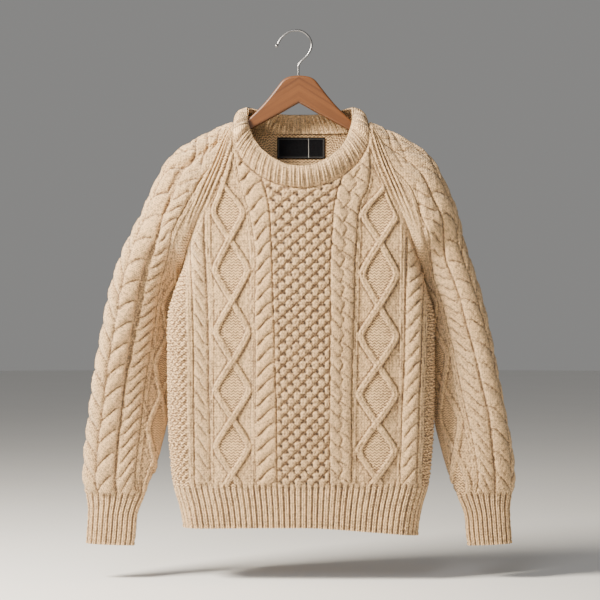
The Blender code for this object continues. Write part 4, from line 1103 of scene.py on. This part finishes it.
def build_sleeve(hand, step, knit):
    """The left (hand -1) or right (hand 1) sleeve, closed round below the underarm."""
    cloth = surfaces()[1][hand]
    name = "left" if hand < 0 else "right"

    def across(share, along):
        cut = np.where(-along < CAP, SEAM / 2, 0)
        return share * (np.where(share < 0, cloth.reach(along, -1), cloth.reach(along, 1)) - cut)

    def relief(share, along):
        return sleeve_relief(across(share, along), along, hand, knit)

    def place(share, along, lift):
        wide = across(share, along)
        room = MITRE * (2 - step_up(-along, 60, 150) - step_up(-along, 5, 40)) * (-along < CAP)
        room = room * step_up(np.abs(share), 0.75, 0.99) * (lift < -0.2)
        return cloth.place(wide - np.sign(wide) * room, along, lift)

    wall = Wall()
    grids = []
    for size, outer in ((step, True), (INNER_STEP, False)):
        shares = spaced(-1, 1, size / SLEEVE_ROUND)
        drops = np.append(spaced(-SLEEVE + SEAM / 2, -CAP, size), spaced(-CAP, -SEAM, size)[1:])
        grids.append((wall.grid_sheet(shares, drops, drops <= -CAP, outer), shares, drops))
    (fine, shares, drops), (coarse, few, far) = grids
    wall.rim(fine[0], coarse[0], shares, few)
    wall.rim(coarse[-1], fine[-1], few, shares)
    for grid_a, at_a, grid_b, at_b, end in ((fine, drops, coarse, far, -1), (coarse, far, fine, drops, 0)):
        wall.rim(grid_a[at_a >= -CAP, end], grid_b[at_b >= -CAP, end], at_a[at_a >= -CAP], at_b[at_b >= -CAP])
    marks = {
        "moss": lambda x, y: sleeve_moss(across(x, y), y, hand),
        "lean": lambda x, y: -hand * sleeve_lean(across(x, y), y, hand),
        "size": lambda x, y: (-hand * across(x, y), y),
        "unit": (135, 1),  # a share of 1 is about 135 mm round the sleeve
    }

    def thickness(share, along):
        return sleeve_thickness(across(share, along), along, cloth)

    obj = wall.finish("knit_sleeve_" + name, place, relief, thickness, "wool", marks)
    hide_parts("sleeve_" + name)
    settle(obj)


def rib_lift(turn, rise):
    """Knitted ribs: upright rows of stitches, each between two hollow rows."""
    x = np.abs(turn % 1 - 0.5) * 2
    rib = (1 - step_up(x, 0.5, 0.84)) * (1 - 0.3 * dent(x, 0.16))
    return 0.2 + rise * (rib - 0.1 * dent(x - 1, 0.14))


def rib_stitches(turn):
    """Stitches counted round a ribbed band: the one on each rib takes most of the room."""
    return 2 * np.floor(turn) + np.interp(turn % 1, (0, 0.13, 0.87, 1), (0, 0.5, 1.5, 2))


def rolled(drop, long):
    """The thin rolled edge at the end of a rib: a little swell and a groove above it."""
    end = (1 - drop) * long
    return 0.5 * dent(end - 2.4, 1.6) - 0.9 * dent(end - 5.2, 0.9)


def hem_edge(across):
    """The hem's lower edge, which hangs lower at its right."""
    return HEM_EDGE + soft(across, (-240, 0, 120, 240), (0, 2, -5, -15))


def ribbed_band(
    name, node, place, sizes, ribs, rise, closed, relief=None, thickness=None, inner_step=5.5
):
    """A ribbed band from its place function. Sizes are its length round and its height."""
    long, high = sizes
    wall = Wall()
    fine, coarse = ((step, step * ROW_STRETCH) for step in (RIB_STEP, inner_step))
    wall.band(sizes, fine, coarse, closed)

    def plain(share, drop):
        fade = step_up(drop, 0, 2.5 / high)
        ribbed = rib_lift(share * ribs, rise) * (0.85 + 0.15 * fade)
        return ribbed + rolled(drop, high) + lumps(share * long, drop * high)

    marks = {
        "size": lambda x, y: (rib_stitches(x * ribs) * STITCH_WIDE, -y * high),
        "shift": 0.5,
        "inner_moss": 0.0,
        "unit": (long, high),
    }
    thickness = thickness or (lambda x, y: RIB_WALL + 0 * x)
    obj = wall.finish(name, place, relief or plain, thickness, "wool_rib", marks)
    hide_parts(node)
    settle(obj)


def build_hem(side, knit):
    fabric = surfaces()[0][side]

    def place(share, drop, lift):
        """Share runs from 0 to 1 across the hem and drop from 0 to 1 down it."""
        start = HEM_SEAM - SEAM / 2
        height = start + drop * (hem_edge(-side * (share * 2 - 1) * 215) - start)
        return fabric.place((share * 2 - 1) * (fabric.reach(height, 1) - SEAM), height, lift)

    name, rise = "front" if side < 0 else "back", knit["edge_rib"]
    ribbed_band("rib_hem_" + name, "hem_" + name, place, (412, 64), HEM_RIBS, rise, False)


def build_cuff(hand, knit):
    cloth = surfaces()[1][hand]

    def place(share, drop, lift):
        """Share goes round the cuff from its inner side, and drop from 0 to 1 down it."""
        along = -(SLEEVE + SEAM / 2 + drop * (CUFF - SEAM))
        reach = np.where(share < 0.5, cloth.reach(along, -1), cloth.reach(along, 1))
        return cloth.place((share * 2 - 1) * reach, along, lift)

    name, rise = "left" if hand < 0 else "right", knit["edge_rib"]
    ribbed_band("rib_cuff_" + name, "cuff_" + name, place, (180, CUFF), CUFF_RIBS, rise, True)


# ---------------------------------------------------------------- neckband and label

# The neckband's upper edge, from the front's middle round the side to the back's middle.
BAND_TOP = table(
    "x y z",
    (0, -41, -206),
    (21, -40, -203.5),
    (43, -37, -192.5),
    (60, -31, -178),
    (70, -23, -163),
    (77, -14, -142),
    (81, -6, -124),
    (81.5, 1, -114),
    (76, 8, -114),
    (62, 13.5, -118),
    (40, 17, -122.5),
    (18, 18.5, -124),
    (0, 19, -124),
)
# How the neckband's length is shared between the stretches of the neckline. The back's counts twice.
BAND_STOPS = {"back": 17, "sleeve": 10, "front": 50}
BAND_FINE = 5
NECK_LONG, NECK_HIGH = 620, 38
PAIR_WIDE = 15.2  # width of one pair of the neckband's ribs, with the flat cloth beside it


def neck_line(side, count):
    """Neckline points from the right raglan seam to the left one, as (across, height)."""
    x = (NECK_HALF - 3) * np.cos(np.linspace(0, math.pi, count))
    return x, neck_height(x, side)


def neck_loop(cloth, sleeves):
    """The neckline all round, from the back's middle over the right side to the front and on."""
    front_line, back_line = (cloth[side].place(*neck_line(side, 61)) for side in (-1, 1))
    over = {}
    for hand, sleeve in sleeves.items():
        across = np.linspace(-sleeve.reach(0, -1), sleeve.reach(0, 1), 21)
        over[hand] = sleeve.place(across, np.zeros(21))
    half = len(back_line) // 2
    stretches = (
        (back_line[half:], "back"),
        (over[1], "sleeve"),
        (front_line, "front"),
        (over[-1][::-1], "sleeve"),
        (back_line[: half + 1], "back"),
    )
    return np.vstack([evenly(line, BAND_STOPS[kind] * BAND_FINE)[0][:-1] for line, kind in stretches])


def smoothed(loop, reach):
    """A closed line with its corners rounded over a few points each way."""
    for _ in range(3):
        loop = sum(np.roll(loop, k, axis=0) for k in range(-reach, reach + 1)) / (2 * reach + 1)
    return loop


def band_top(count):
    """The neckband's upper edge all round, as a closed line of equal steps."""
    half = np.stack([BAND_TOP[k] for k in "xyz"], axis=1)
    loop = np.vstack([half[::-1], (half * (-1, 1, 1))[1:-1]]) + (BODY_X - 1.5, 0, 0)
    loop = np.vstack([loop, loop[:1]])
    return smoothed(evenly(loop, count)[0][:-1], 2)


def build_neckband(knit):
    cloth, sleeves = surfaces()
    low = neck_loop(cloth, sleeves)
    stops = len(low)
    top = band_top(stops)
    round_way = smoothed(sum(np.roll(line, -1, 0) - np.roll(line, 1, 0) for line in (low, top)), 4)

    def at(loop, turn):
        i = np.floor(turn).astype(int)
        t = (turn - i)[:, None]
        return loop[i % stops] * (1 - t) + loop[(i + 1) % stops] * t

    def place(share, drop, lift):
        """Share goes round the band and drop from 0 at its upper edge to 1 at its seam."""
        turn, rise = share * stops, (1 - drop)[:, None]
        a, b = at(low, turn), at(top, turn)
        way = b - a
        way /= np.linalg.norm(way, axis=1, keepdims=True)
        start = a + way * BAND_GAP
        out = np.cross(way, at(round_way, turn))
        out /= np.linalg.norm(out, axis=1, keepdims=True)
        swell = 6.0 * np.sin(np.clip(rise, 0, 1) * math.pi)
        # At the back the band stands straight on the panel, and needs no mitre.
        off_back = np.minimum(share, 1 - share) * stops / BAND_FINE / BAND_STOPS["back"]
        room = 0.3 + (BAND_MITRE - 0.3) * step_up(off_back, 0.75, 1.0)
        mitre = (np.where(lift < -1, room, 0.0) - 0.5)[:, None] * (1 - rise)
        return start + (b - start) * rise + way * mitre + out * (swell + lift[:, None])

    def relief(share, drop):
        """Pairs of knitted lines with flat cloth between, which fade at the fold."""
        x = ((share * NECK_PAIRS) % 1 - 0.5) * PAIR_WIDE
        lines = ridge(x - 2.6, 2.4) + ridge(x + 2.6, 2.4)
        fade = (0.1 + 0.9 * step_up(drop, 0.0, 0.3)) * (0.5 + 0.5 * (1 - step_up(drop, 0.9, 1)))
        ends = 1.2 * step_up(drop, 0.965, 1) + 1.0 * (1 - step_up(drop, 0, 0.05))
        rough = 0.4 * lumps(share * NECK_LONG, drop * NECK_HIGH)
        return 0.3 + 0.72 * knit["edge_rib"] * lines * fade + rough - ends

    def thickness(share, drop):
        """The band's inner side is ribbed as well."""
        x = ((share * NECK_PAIRS) % 1 - 0.5) * PAIR_WIDE
        lines = ridge(x - 2.7, 2.1) + ridge(x + 2.7, 2.1)
        return BAND_WALL + 1.9 * lines * step_up(drop, 0.05, 0.2) + 1.0 * dent((drop - 0.97) * 36, 1.5)

    ribbed_band(
        "rib_neckband", "neckband", place, (NECK_LONG, NECK_HIGH), NECK_PAIRS * 1.7, 0, True,
        relief=relief, thickness=thickness, inner_step=1.6,
    )


LABEL_WIDE, LABEL_HIGH, LABEL_THICK = 73.0, 32.5, 0.8
LABEL_TOP, LABEL_GAP = -157.5, 0.8


def build_label():
    """A small woven label inside the back, under the neckband. It is held by its upper edge."""
    cloth = surfaces()[0][1]
    wall = Wall()
    wall.band((LABEL_WIDE, LABEL_HIGH), (1.1, 1.1), (INNER_STEP, INNER_STEP), False)

    def place(share, drop, lift):
        # Its far side lies on the cloth, so its face looks forwards, into the neck.
        depth = WALL + LABEL_GAP + LABEL_THICK + lift
        return cloth.place((0.5 - share) * LABEL_WIDE, LABEL_TOP - drop * LABEL_HIGH, -depth)

    def relief(share, drop):
        from_sides = np.minimum(share, 1 - share) * LABEL_WIDE
        edge = np.minimum(from_sides, np.minimum(drop, 1 - drop) * LABEL_HIGH)
        border = 0.12 * step_up(edge, 0.0, 1.0) + 0.12 * dent(edge - 2.2, 0.8)
        return border - 0.25 * (1 - step_up(edge, 0, 0.6))

    marks = {
        "size": lambda x, y: (x * STITCH_WIDE, -y * STITCH_HIGH),
        "unit": (LABEL_WIDE, LABEL_HIGH),
    }
    obj = wall.finish("woven_label", place, relief, lambda x, y: LABEL_THICK + 0 * x, "label", marks)
    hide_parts("label")
    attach(obj, "root")


# ---------------------------------------------------------------- the hanger

HANGER_THICK, HANGER_ROUND = 12.0, 3.2
# Upper and lower edge of the bar, from its middle to its tip.
BAR = table(
    "x top low",
    (0, -66.5, -108),
    (9, -67.3, -113),
    (17, -69, -117.5),
    (24, -73, -121.5),
    (33, -84, -126.5),
    (44, -98, -132.5),
    (56, -112, -139),
    (70, -126, -146.5),
    (86, -140, -156),
    (103, -149.5, -167),
    (122, -157.5, -177),
    (142, -167.5, -186),
    (160, -177, -193.5),
    (174, -185.5, -200),
    (182, -191.5, -203),
    (187, -196.5, -201.5),
)
HOOK_WIRE, HOOK_BALL = 1.65, 2.7
# The hook's middle line, from the joint in the wood round to its tip.
HOOK = table(
    "x z",
    (-1, -66.2),
    (-1, -54),
    (0.5, -48.5),
    (5, -43),
    (12, -36.5),
    (17.5, -27.5),
    (19, -18.5),
    (16, -9),
    (10.5, -2.8),
    (3.5, 1.2),
    (-4, 2.3),
    (-11, 1.6),
    (-17.5, -1.2),
    (-24, -6.5),
    (-29, -12.5),
    (-33, -19.5),
)


def carve(curve, name, node, slot):
    """A piece of the hanger from its finished curve."""
    curve.materials.append(bpy.data.materials[FINISH_NAMES[slot]])
    obj = bpy.data.objects.new(name, curve)
    bpy.context.scene.collection.objects.link(obj)
    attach(obj, "root")
    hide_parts(node)
    return obj


def build_bar():
    """The bent wooden bar, with rounded edges."""
    xs = np.concatenate([np.linspace(0, 182, 92), [184.5, 187]])
    top, low = (soft(xs, BAR["x"], BAR[k]) for k in ("top", "low"))
    rim = list(zip(xs, top)) + list(zip(xs[::-1], low[::-1]))
    rim += [(-x, z) for x, z in reversed(rim[1:-1])]
    curve = bpy.data.curves.new("bent_bar", "CURVE")
    curve.dimensions = "2D"
    curve.fill_mode = "BOTH"
    curve.extrude = (HANGER_THICK / 2 - HANGER_ROUND) * MM
    curve.bevel_depth = HANGER_ROUND * MM
    curve.bevel_resolution = 5
    curve.offset = -HANGER_ROUND * MM
    spline = curve.splines.new("POLY")
    spline.points.add(len(rim) - 1)
    for point, (x, z) in zip(spline.points, rim):
        point.co = (x * MM, z * MM, 0, 1)
    spline.use_cyclic_u = True
    bar = carve(curve, "bent_bar", "hanger_wood", "wood")
    bar.rotation_euler = (math.radians(90), 0, 0)


def build_hook():
    """Bent wire that swells into a small ball at its tip."""
    knots = np.arange(len(HOOK["x"]), dtype=float)
    fine = np.linspace(0, knots[-1], 120)
    line = np.stack([soft(fine, knots, HOOK["x"]), soft(fine, knots, HOOK["z"])], axis=1)
    wide = [1.0] * len(line)
    tip, way = line[-1], (line[-1] - line[-2]) / np.linalg.norm(line[-1] - line[-2])
    for turn in np.radians(np.linspace(42, 176, 14)):
        line = np.vstack([line, tip + way * HOOK_BALL * (0.75 - math.cos(turn))])
        wide.append(HOOK_BALL * math.sin(turn) / HOOK_WIRE)
    curve = bpy.data.curves.new("wire_hook", "CURVE")
    curve.dimensions = "3D"
    curve.bevel_depth = HOOK_WIRE * MM
    curve.bevel_resolution = 5
    curve.use_fill_caps = True
    spline = curve.splines.new("POLY")
    spline.points.add(len(line) - 1)
    for point, (x, z), radius in zip(spline.points, line, wide):
        point.co = (x * MM, 0, z * MM, 1)
        point.radius = radius
    carve(curve, "wire_hook", "hanger_hook", "steel")


# ---------------------------------------------------------------- finishes


class Signal:
    """A value that a finish works out, and that takes the usual signs of arithmetic."""

    def __init__(self, finish, socket):
        self.finish, self.socket = finish, socket

    def __add__(self, other):
        return self.finish.math("ADD", self, other)

    def __sub__(self, other):
        return self.finish.math("SUBTRACT", self, other)

    def __rsub__(self, other):
        return self.finish.math("SUBTRACT", other, self)

    def __mul__(self, other):
        return self.finish.math("MULTIPLY", self, other)

    __radd__ = __add__


class Finish:
    """A material's nodes, written as short calls."""

    def __init__(self, name, **inputs):
        self.material = bpy.data.materials.new(FINISH_NAMES[name])
        self.material.use_nodes = True
        self.tree = self.material.node_tree
        self.shader = self.tree.nodes["Principled BSDF"]
        self.set(self.shader, inputs)

    def set(self, node, inputs):
        for key, value in inputs.items():
            socket = node.inputs[key if isinstance(key, int) else key.replace("_", " ")]
            if isinstance(value, Signal):
                self.tree.links.new(value.socket, socket)
            else:
                socket.default_value = value

    def node(self, kind, out=0, settings=None, **inputs):
        node = self.tree.nodes.new("ShaderNode" + kind)
        for key, value in (settings or {}).items():
            setattr(node, key, value)
        self.set(node, inputs)
        return Signal(self, node.outputs[out])

    def math(self, operation, a, b=0.0, clamp=False):
        node = self.tree.nodes.new("ShaderNodeMath")
        node.operation, node.use_clamp = operation, clamp
        self.set(node, {0: a, 1: b})
        return Signal(self, node.outputs[0])

    def blend(self, factor, a, b):
        node = self.tree.nodes.new("ShaderNodeMix")
        node.data_type = "RGBA"
        self.set(node, {0: factor, 6: a, 7: b})
        return Signal(self, node.outputs[2])

    def parts(self, vector):
        """The x, y and z of a vector."""
        node = self.tree.nodes.new("ShaderNodeSeparateXYZ")
        self.set(node, {0: vector})
        return [Signal(self, out) for out in node.outputs]

    def place(self):
        """Where a point lies on its object."""
        return self.node("TexCoord", 3)

    def noise(self, scale, detail=2.0):
        return self.node("TexNoise", Scale=scale, Detail=detail, Vector=self.place())

    def mark(self, name):
        """A mark that the mesh carries at each of its points."""
        return self.node("Attribute", 2, {"attribute_name": name})

    def stitches(self):
        """The UVs: stitches across, and rows up."""
        return self.parts(self.node("UVMap", settings={"uv_map": "stitches"}))[:2]


LEG_CLIMB = 1.5  # rows that a stitch's leg climbs in the width of one stitch
MOSS_WIDE = 1.4  # stitches in one wave of the moss stitch


def wool_finish(name, knit):
    """Cream wool: V stitches or moss stitch raised from the UVs, painted shade in its hollows, between its
    stitches and in the lattice's holes, and a soft nap.
    """
    nap = {"Sheen_Weight": 0.35, "Sheen_Roughness": 0.5, "Sheen_Tint": (1, 0.93, 0.82, 1)}
    wool = Finish(name, Roughness=0.88, Specular_IOR_Level=0.25, **nap)
    u, v = wool.stitches()
    aside = wool.math("ABSOLUTE", wool.math("FRACT", u) - 0.5)
    row = v - aside * LEG_CLIMB
    leg = (aside - 0.25) * 4.0
    bead = wool.math("FRACT", row) * 2.0 - 1.0
    vee = wool.math("MULTIPLY", 1.0 - leg * leg, 1.0 - bead * bead, clamp=True)
    wave = wool.math("SINE", u * (2 * math.pi / MOSS_WIDE))
    bump = wool.math("COSINE", (v + wave * 0.26) * (2 * math.pi))
    bump = wool.math("MULTIPLY", bump + 0.7, 0.75, clamp=True)
    moss = wool.mark("moss")
    stitch = wool.node("Mix", Factor=moss, A=vee, B=bump)
    # Every leg of a stitch has its own tone and its own height.
    place = wool.node("CombineXYZ", X=wool.math("FLOOR", u * 2.0), Y=wool.math("FLOOR", row))
    chance = wool.node("TexWhiteNoise", settings={"noise_dimensions": "2D"}, Vector=place) - 0.5
    fuzz, yarn = wool.noise(2600.0, 3.0), wool.noise(380.0) - 0.5
    height = stitch * 0.8 + fuzz * 0.35 + chance * 0.45
    # Painted shade between the stitches, deeper in moss stitch; the mottle beside it is the yarn's own random
    # tone.
    gap = (0.8 - stitch) * 0.75 * (1.0 + moss * 0.45)
    mottled = chance * 0.52 + yarn * 2.0
    # Painted shade: hollows and the gaps between stitches darken the wool towards wool_shade.
    dark = wool.math("ADD", wool.mark("hollow") * 0.8, gap + mottled, clamp=True)
    tone = wool.blend(wool.noise(14.0, 3.0), knit.wool_light, knit.wool_warm)
    # Painted shade: the lattice's deep holes are darkened almost to black.
    pit_shade = wool.math("MULTIPLY", wool.mark("pit_shade"), 0.95, clamp=True)
    wool.set(wool.shader, {
        "Base Color": wool.blend(pit_shade, wool.blend(dark, tone, knit.wool_shade), knit.wool_pit_shade),
        "Normal": wool.node("Bump", Strength=0.9, Distance=knit.stitch_depth, Height=height),
    })


LABEL_RULE = 0.66  # where the label's upright rule stands, as a share of its width
LABEL_BORDER = 0.03, 0.07  # how far in its border runs, as shares of its width and its height


def label_finish(knit):
    """Black satin weave with a faint woven border and one pale rule."""
    label = Finish("label", Roughness=0.75, Specular_IOR_Level=0.06)
    u, v = label.stitches()
    v = v * -1.0

    def near(value, at, half):
        return label.math("LESS_THAN", label.math("ABSOLUTE", value - at), half)

    lines = near(u, LABEL_RULE, 0.005)
    for value, border, half in ((u, LABEL_BORDER[0], 0.005), (v, LABEL_BORDER[1], 0.011)):
        for at in (border, 1 - border):
            lines = label.math("MAXIMUM", lines, near(value, at, half))
    lines = lines * (near(u, 0.5, 0.475) * near(v, 0.5, 0.441))
    weave = label.math("SINE", u * 900.0) * label.math("SINE", v * 420.0)
    black = label.blend(label.noise(300.0), knit.label_black, (0.010, 0.010, 0.012, 1))
    pale = near(u, LABEL_RULE, 0.01) * 0.5 + 0.12
    label.set(label.shader, {
        "Base Color": label.blend(lines * pale, black, (0.8, 0.78, 0.73, 1)),
        "Normal": label.node("Bump", Strength=0.4, Distance=0.0002, Height=weave),
    })


def wood_finish(hanger):
    """Lacquered warm wood, with its grain along the bent arms."""
    wood = Finish("wood", Roughness=0.42, Coat_Weight=0.18, Coat_Roughness=0.25)
    x, y, z = wood.parts(wood.place())
    grain_up = y + wood.math("ABSOLUTE", x) * 0.62
    along = wood.node("CombineXYZ", X=x * 6.0, Y=grain_up * 110.0, Z=z * 60.0)
    grain = wood.node("TexNoise", Scale=1.6, Detail=5.0, Distortion=0.6, Vector=along)
    pores = wood.node("TexNoise", Scale=9.0, Detail=2.0, Vector=along)
    streak = wood.math("MULTIPLY", grain - 0.3, 2.2, clamp=True)
    fleck = wood.math("MULTIPLY", pores - 0.58, 3.0, clamp=True)
    tone = wood.blend(streak, hanger.wood_dark, hanger.wood_light)
    wood.set(wood.shader, {
        "Base Color": wood.blend(fleck, tone, (0.16, 0.065, 0.02, 1)),
        "Normal": wood.node("Bump", Strength=0.15, Distance=0.0004, Height=grain),
    })


def steel_finish(hanger):
    """Polished wire with faint marks of drawing and wear."""
    steel = Finish("steel", Metallic=1.0)
    wear = steel.noise(180.0, 4.0)
    steel.set(steel.shader, {
        "Base Color": steel.blend(wear, hanger.steel_light, (0.20, 0.195, 0.19, 1)),
        "Roughness": wear * 0.16 + 0.22,
        "Normal": steel.node("Bump", Strength=0.1, Distance=0.0001, Height=steel.noise(900.0)),
    })


def floor_finish(stage):
    floor = Finish("floor", Roughness=0.8)
    tone = floor.blend(floor.noise(3.0), stage.floor_colour, (0.80, 0.79, 0.77, 1))
    floor.set(floor.shader, {"Base Color": tone})


# ---------------------------------------------------------------- settings, operators and panel


def length(name, description, default):
    return bpy.props.FloatProperty(
        name=name, description=description, default=default, min=0.0,
        unit="LENGTH", subtype="DISTANCE", precision=4,
    )


def colour(name, description, default):
    return bpy.props.FloatVectorProperty(
        name=name, description=description, default=(*default, 1), size=4, min=0, max=1, subtype="COLOR"
    )


def power(name, description, default):
    return bpy.props.FloatProperty(name=name, description=description, default=default, min=0.0)


class PulloverKnit(bpy.types.PropertyGroup):
    bobble_rise: length("Knots", "How far the knots of the middle lattice stand out", 0.0042)
    cable_rise: length("Cables", "How far the braids and ropes stand out", 0.0044)
    band_rise: length("Bands", "How far the bands of the diamonds stand out", 0.0038)
    plait_rise: length("Plaits", "How far the broad plaits of the sleeves stand out", 0.0062)
    rib_rise: length("Fine ribs", "How far the fine ribs between the cables stand out", 0.0017)
    edge_rib_rise: length("Edge ribs", "How far the ribs of hem, cuffs and neckband stand out", 0.0023)
    stitch_depth: length("Stitch depth", "How deep the single stitches are cut", 0.0016)
    front_step: length("Front detail", "Distance between the points of the front's mesh", 0.0016)
    back_step: length("Back detail", "Distance between the points of the back's mesh", 0.0021)
    sleeve_step: length("Sleeve detail", "Distance between the points of the sleeves' meshes", 0.00168)
    wool_light: colour("Wool", "Cream of the wool in the light", (0.95, 0.645, 0.34))
    wool_warm: colour("Warm wool", "Warmer cream of some of the yarn", (0.87, 0.55, 0.26))
    # Painted shade: the colour that the wool's hollows and the gaps between its stitches are darkened
    # towards.
    wool_shade: colour("Deep wool", "Colour of the wool deep between the cables", (0.20, 0.115, 0.058))
    # Painted shade: the near-black colour painted into the holes between the knots.
    wool_pit_shade: colour("Holes", "Colour of the holes between the knots", (0.020, 0.009, 0.005))
    label_black: colour("Label", "Black of the label's weave", (0.003, 0.003, 0.004))


class PulloverHanger(bpy.types.PropertyGroup):
    wood_light: colour("Wood", "Light tone of the hanger's wood", (0.162, 0.058, 0.0155))
    wood_dark: colour("Dark wood", "Dark tone of the hanger's wood", (0.082, 0.027, 0.0070))
    steel_light: colour("Steel", "Tone of the hook's wire", (0.40, 0.40, 0.41))


class PulloverStage(bpy.types.PropertyGroup):
    floor_colour: colour("Floor", "Colour of the studio floor", (0.84, 0.83, 0.81))
    key_power: power("Key light", "Power of the large light, in watts", 122.0)
    fill_power: power("Fill light", "Power of the weak light, in watts", 16.0)
    world_light: power("Room light", "Strength of the light from all round", 0.27)
    camera_distance: length("Camera distance", "From the camera to the hanger", 3.0)


class PULLOVER_OT_finishes(bpy.types.Operator):
    """Makes the wool, label, wood and steel finishes"""

    bl_idname = "pullover.finishes"
    bl_label = "Finishes"

    def execute(self, context):
        scene = context.scene
        for name in ("wool", "wool_rib"):
            wool_finish(name, scene.pullover_knit)
        label_finish(scene.pullover_knit)
        wood_finish(scene.pullover_hanger)
        steel_finish(scene.pullover_hanger)
        return {"FINISHED"}


class PULLOVER_OT_body(bpy.types.Operator):
    """Knits the front and back panels"""

    bl_idname = "pullover.body"
    bl_label = "Front and back"

    def execute(self, context):
        knit = context.scene.pullover_knit
        build_body(-1, knit.front_step / MM, heights_of(context))
        build_body(1, knit.back_step / MM, heights_of(context))
        return {"FINISHED"}


class PULLOVER_OT_sleeves(bpy.types.Operator):
    """Knits the two sleeves"""

    bl_idname = "pullover.sleeves"
    bl_label = "Sleeves"

    def execute(self, context):
        for hand in (-1, 1):
            build_sleeve(hand, context.scene.pullover_knit.sleeve_step / MM, heights_of(context))
        return {"FINISHED"}


class PULLOVER_OT_edges(bpy.types.Operator):
    """Knits the ribbed hem, the cuffs and the neckband"""

    bl_idname = "pullover.edges"
    bl_label = "Hem, cuffs and neckband"

    def execute(self, context):
        for side in (-1, 1):
            build_hem(side, heights_of(context))
            build_cuff(side, heights_of(context))
        build_neckband(heights_of(context))
        return {"FINISHED"}


class PULLOVER_OT_label(bpy.types.Operator):
    """Weaves the label inside the neck"""

    bl_idname = "pullover.label"
    bl_label = "Label"

    def execute(self, context):
        build_label()
        return {"FINISHED"}


class PULLOVER_OT_hanger(bpy.types.Operator):
    """Makes the wooden bar and its wire hook"""

    bl_idname = "pullover.hanger"
    bl_label = "Hanger"

    def execute(self, context):
        build_bar()
        build_hook()
        return {"FINISHED"}


FLOOR_SIDES, FLOOR_REACH, FLOOR_HEIGHT = 96, 9000.0, -830.0
PICTURE_WIDE = 0.9  # metres that the picture spans at the garment's front
FRONT_DEPTH = 0.035  # from the hanger's plane to the garment's front, in metres


class PULLOVER_OT_stage(bpy.types.Operator):
    """Sets the floor, the lights and the camera"""

    bl_idname = "pullover.stage"
    bl_label = "Stage"

    def execute(self, context):
        stage = context.scene.pullover_stage
        floor_finish(stage)
        turn = np.linspace(0, 2 * math.pi, FLOOR_SIDES + 1)[:-1]
        round_edge = FLOOR_REACH * np.stack([np.cos(turn), np.sin(turn)], axis=1)
        points = np.column_stack([round_edge, np.full(FLOOR_SIDES, FLOOR_HEIGHT)])
        floor = mesh_piece("floor", points, [list(range(FLOOR_SIDES))], "floor")
        floor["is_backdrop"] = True
        world = bpy.data.worlds.new("studio")
        world.use_nodes = True
        background = world.node_tree.nodes["Background"]
        background.inputs["Color"].default_value = (0.93, 0.92, 0.90, 1)
        background.inputs["Strength"].default_value = stage.world_light
        context.scene.world = world
        soft_light("key", (-1.2, -0.68, 0.6), stage.key_power, 0.6, (1, 0.92, 0.79))
        soft_light("fill", (-0.6, -2.3, 1.1), stage.fill_power, 1.0, (0.98, 0.98, 1))
        camera = bpy.data.cameras.new("camera")
        camera.lens = camera.sensor_width * (stage.camera_distance - FRONT_DEPTH) / PICTURE_WIDE
        viewer = bpy.data.objects.new("camera", camera)
        viewer.location = (0.0015, -stage.camera_distance, -0.407)
        viewer.rotation_euler = (math.radians(90), 0, 0)
        context.scene.collection.objects.link(viewer)
        context.scene.camera = viewer
        return {"FINISHED"}


def soft_light(name, place, power, size, tint):
    """A square light that looks at the middle of the garment."""
    light = bpy.data.lights.new(name, "AREA")
    light.energy, light.size, light.color = power, size, tint
    obj = bpy.data.objects.new(name, light)
    obj.location = place
    x, y, z = np.array([0, 0, -0.42]) - np.array(place)
    obj.rotation_euler = (math.atan2(math.hypot(x, y), -z), 0, math.atan2(y, x) - math.pi / 2)
    bpy.context.scene.collection.objects.link(obj)


OPERATORS = (
    PULLOVER_OT_finishes,
    PULLOVER_OT_body,
    PULLOVER_OT_sleeves,
    PULLOVER_OT_edges,
    PULLOVER_OT_label,
    PULLOVER_OT_hanger,
    PULLOVER_OT_stage,
)


class PULLOVER_PT_panel(bpy.types.Panel):
    """Lists the pieces and their settings"""

    bl_idname = "PULLOVER_PT_panel"
    bl_label = "Cable knit pullover"
    bl_space_type = "VIEW_3D"
    bl_region_type = "UI"
    bl_category = "Pullover"

    def draw(self, context):
        for operator in OPERATORS:
            self.layout.operator(operator.bl_idname)
        for name in GROUPS:
            group = getattr(context.scene, name)
            for key in group.__annotations__:
                self.layout.prop(group, key)


GROUPS = {
    "pullover_knit": PulloverKnit,
    "pullover_hanger": PulloverHanger,
    "pullover_stage": PulloverStage,
}


def register():
    for cls in (*GROUPS.values(), *OPERATORS, PULLOVER_PT_panel):
        bpy.utils.register_class(cls)
    for name, cls in GROUPS.items():
        setattr(bpy.types.Scene, name, bpy.props.PointerProperty(type=cls))


def unregister():
    for name in GROUPS:
        delattr(bpy.types.Scene, name)
    for cls in (PULLOVER_PT_panel, *reversed(OPERATORS), *GROUPS.values()):
        bpy.utils.unregister_class(cls)


def main():
    register()
    bpy.ops.pullover.finishes()
    bpy.ops.pullover.body()
    bpy.ops.pullover.sleeves()
    bpy.ops.pullover.edges()
    bpy.ops.pullover.label()
    bpy.ops.pullover.hanger()
    bpy.ops.pullover.stage()
    boxes = {"cad": CAD_BOX, "visual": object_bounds()}
    {name: [list(map(float, end)) for end in box] for name, box in boxes.items()}


if __name__ == "__main__":
    main()
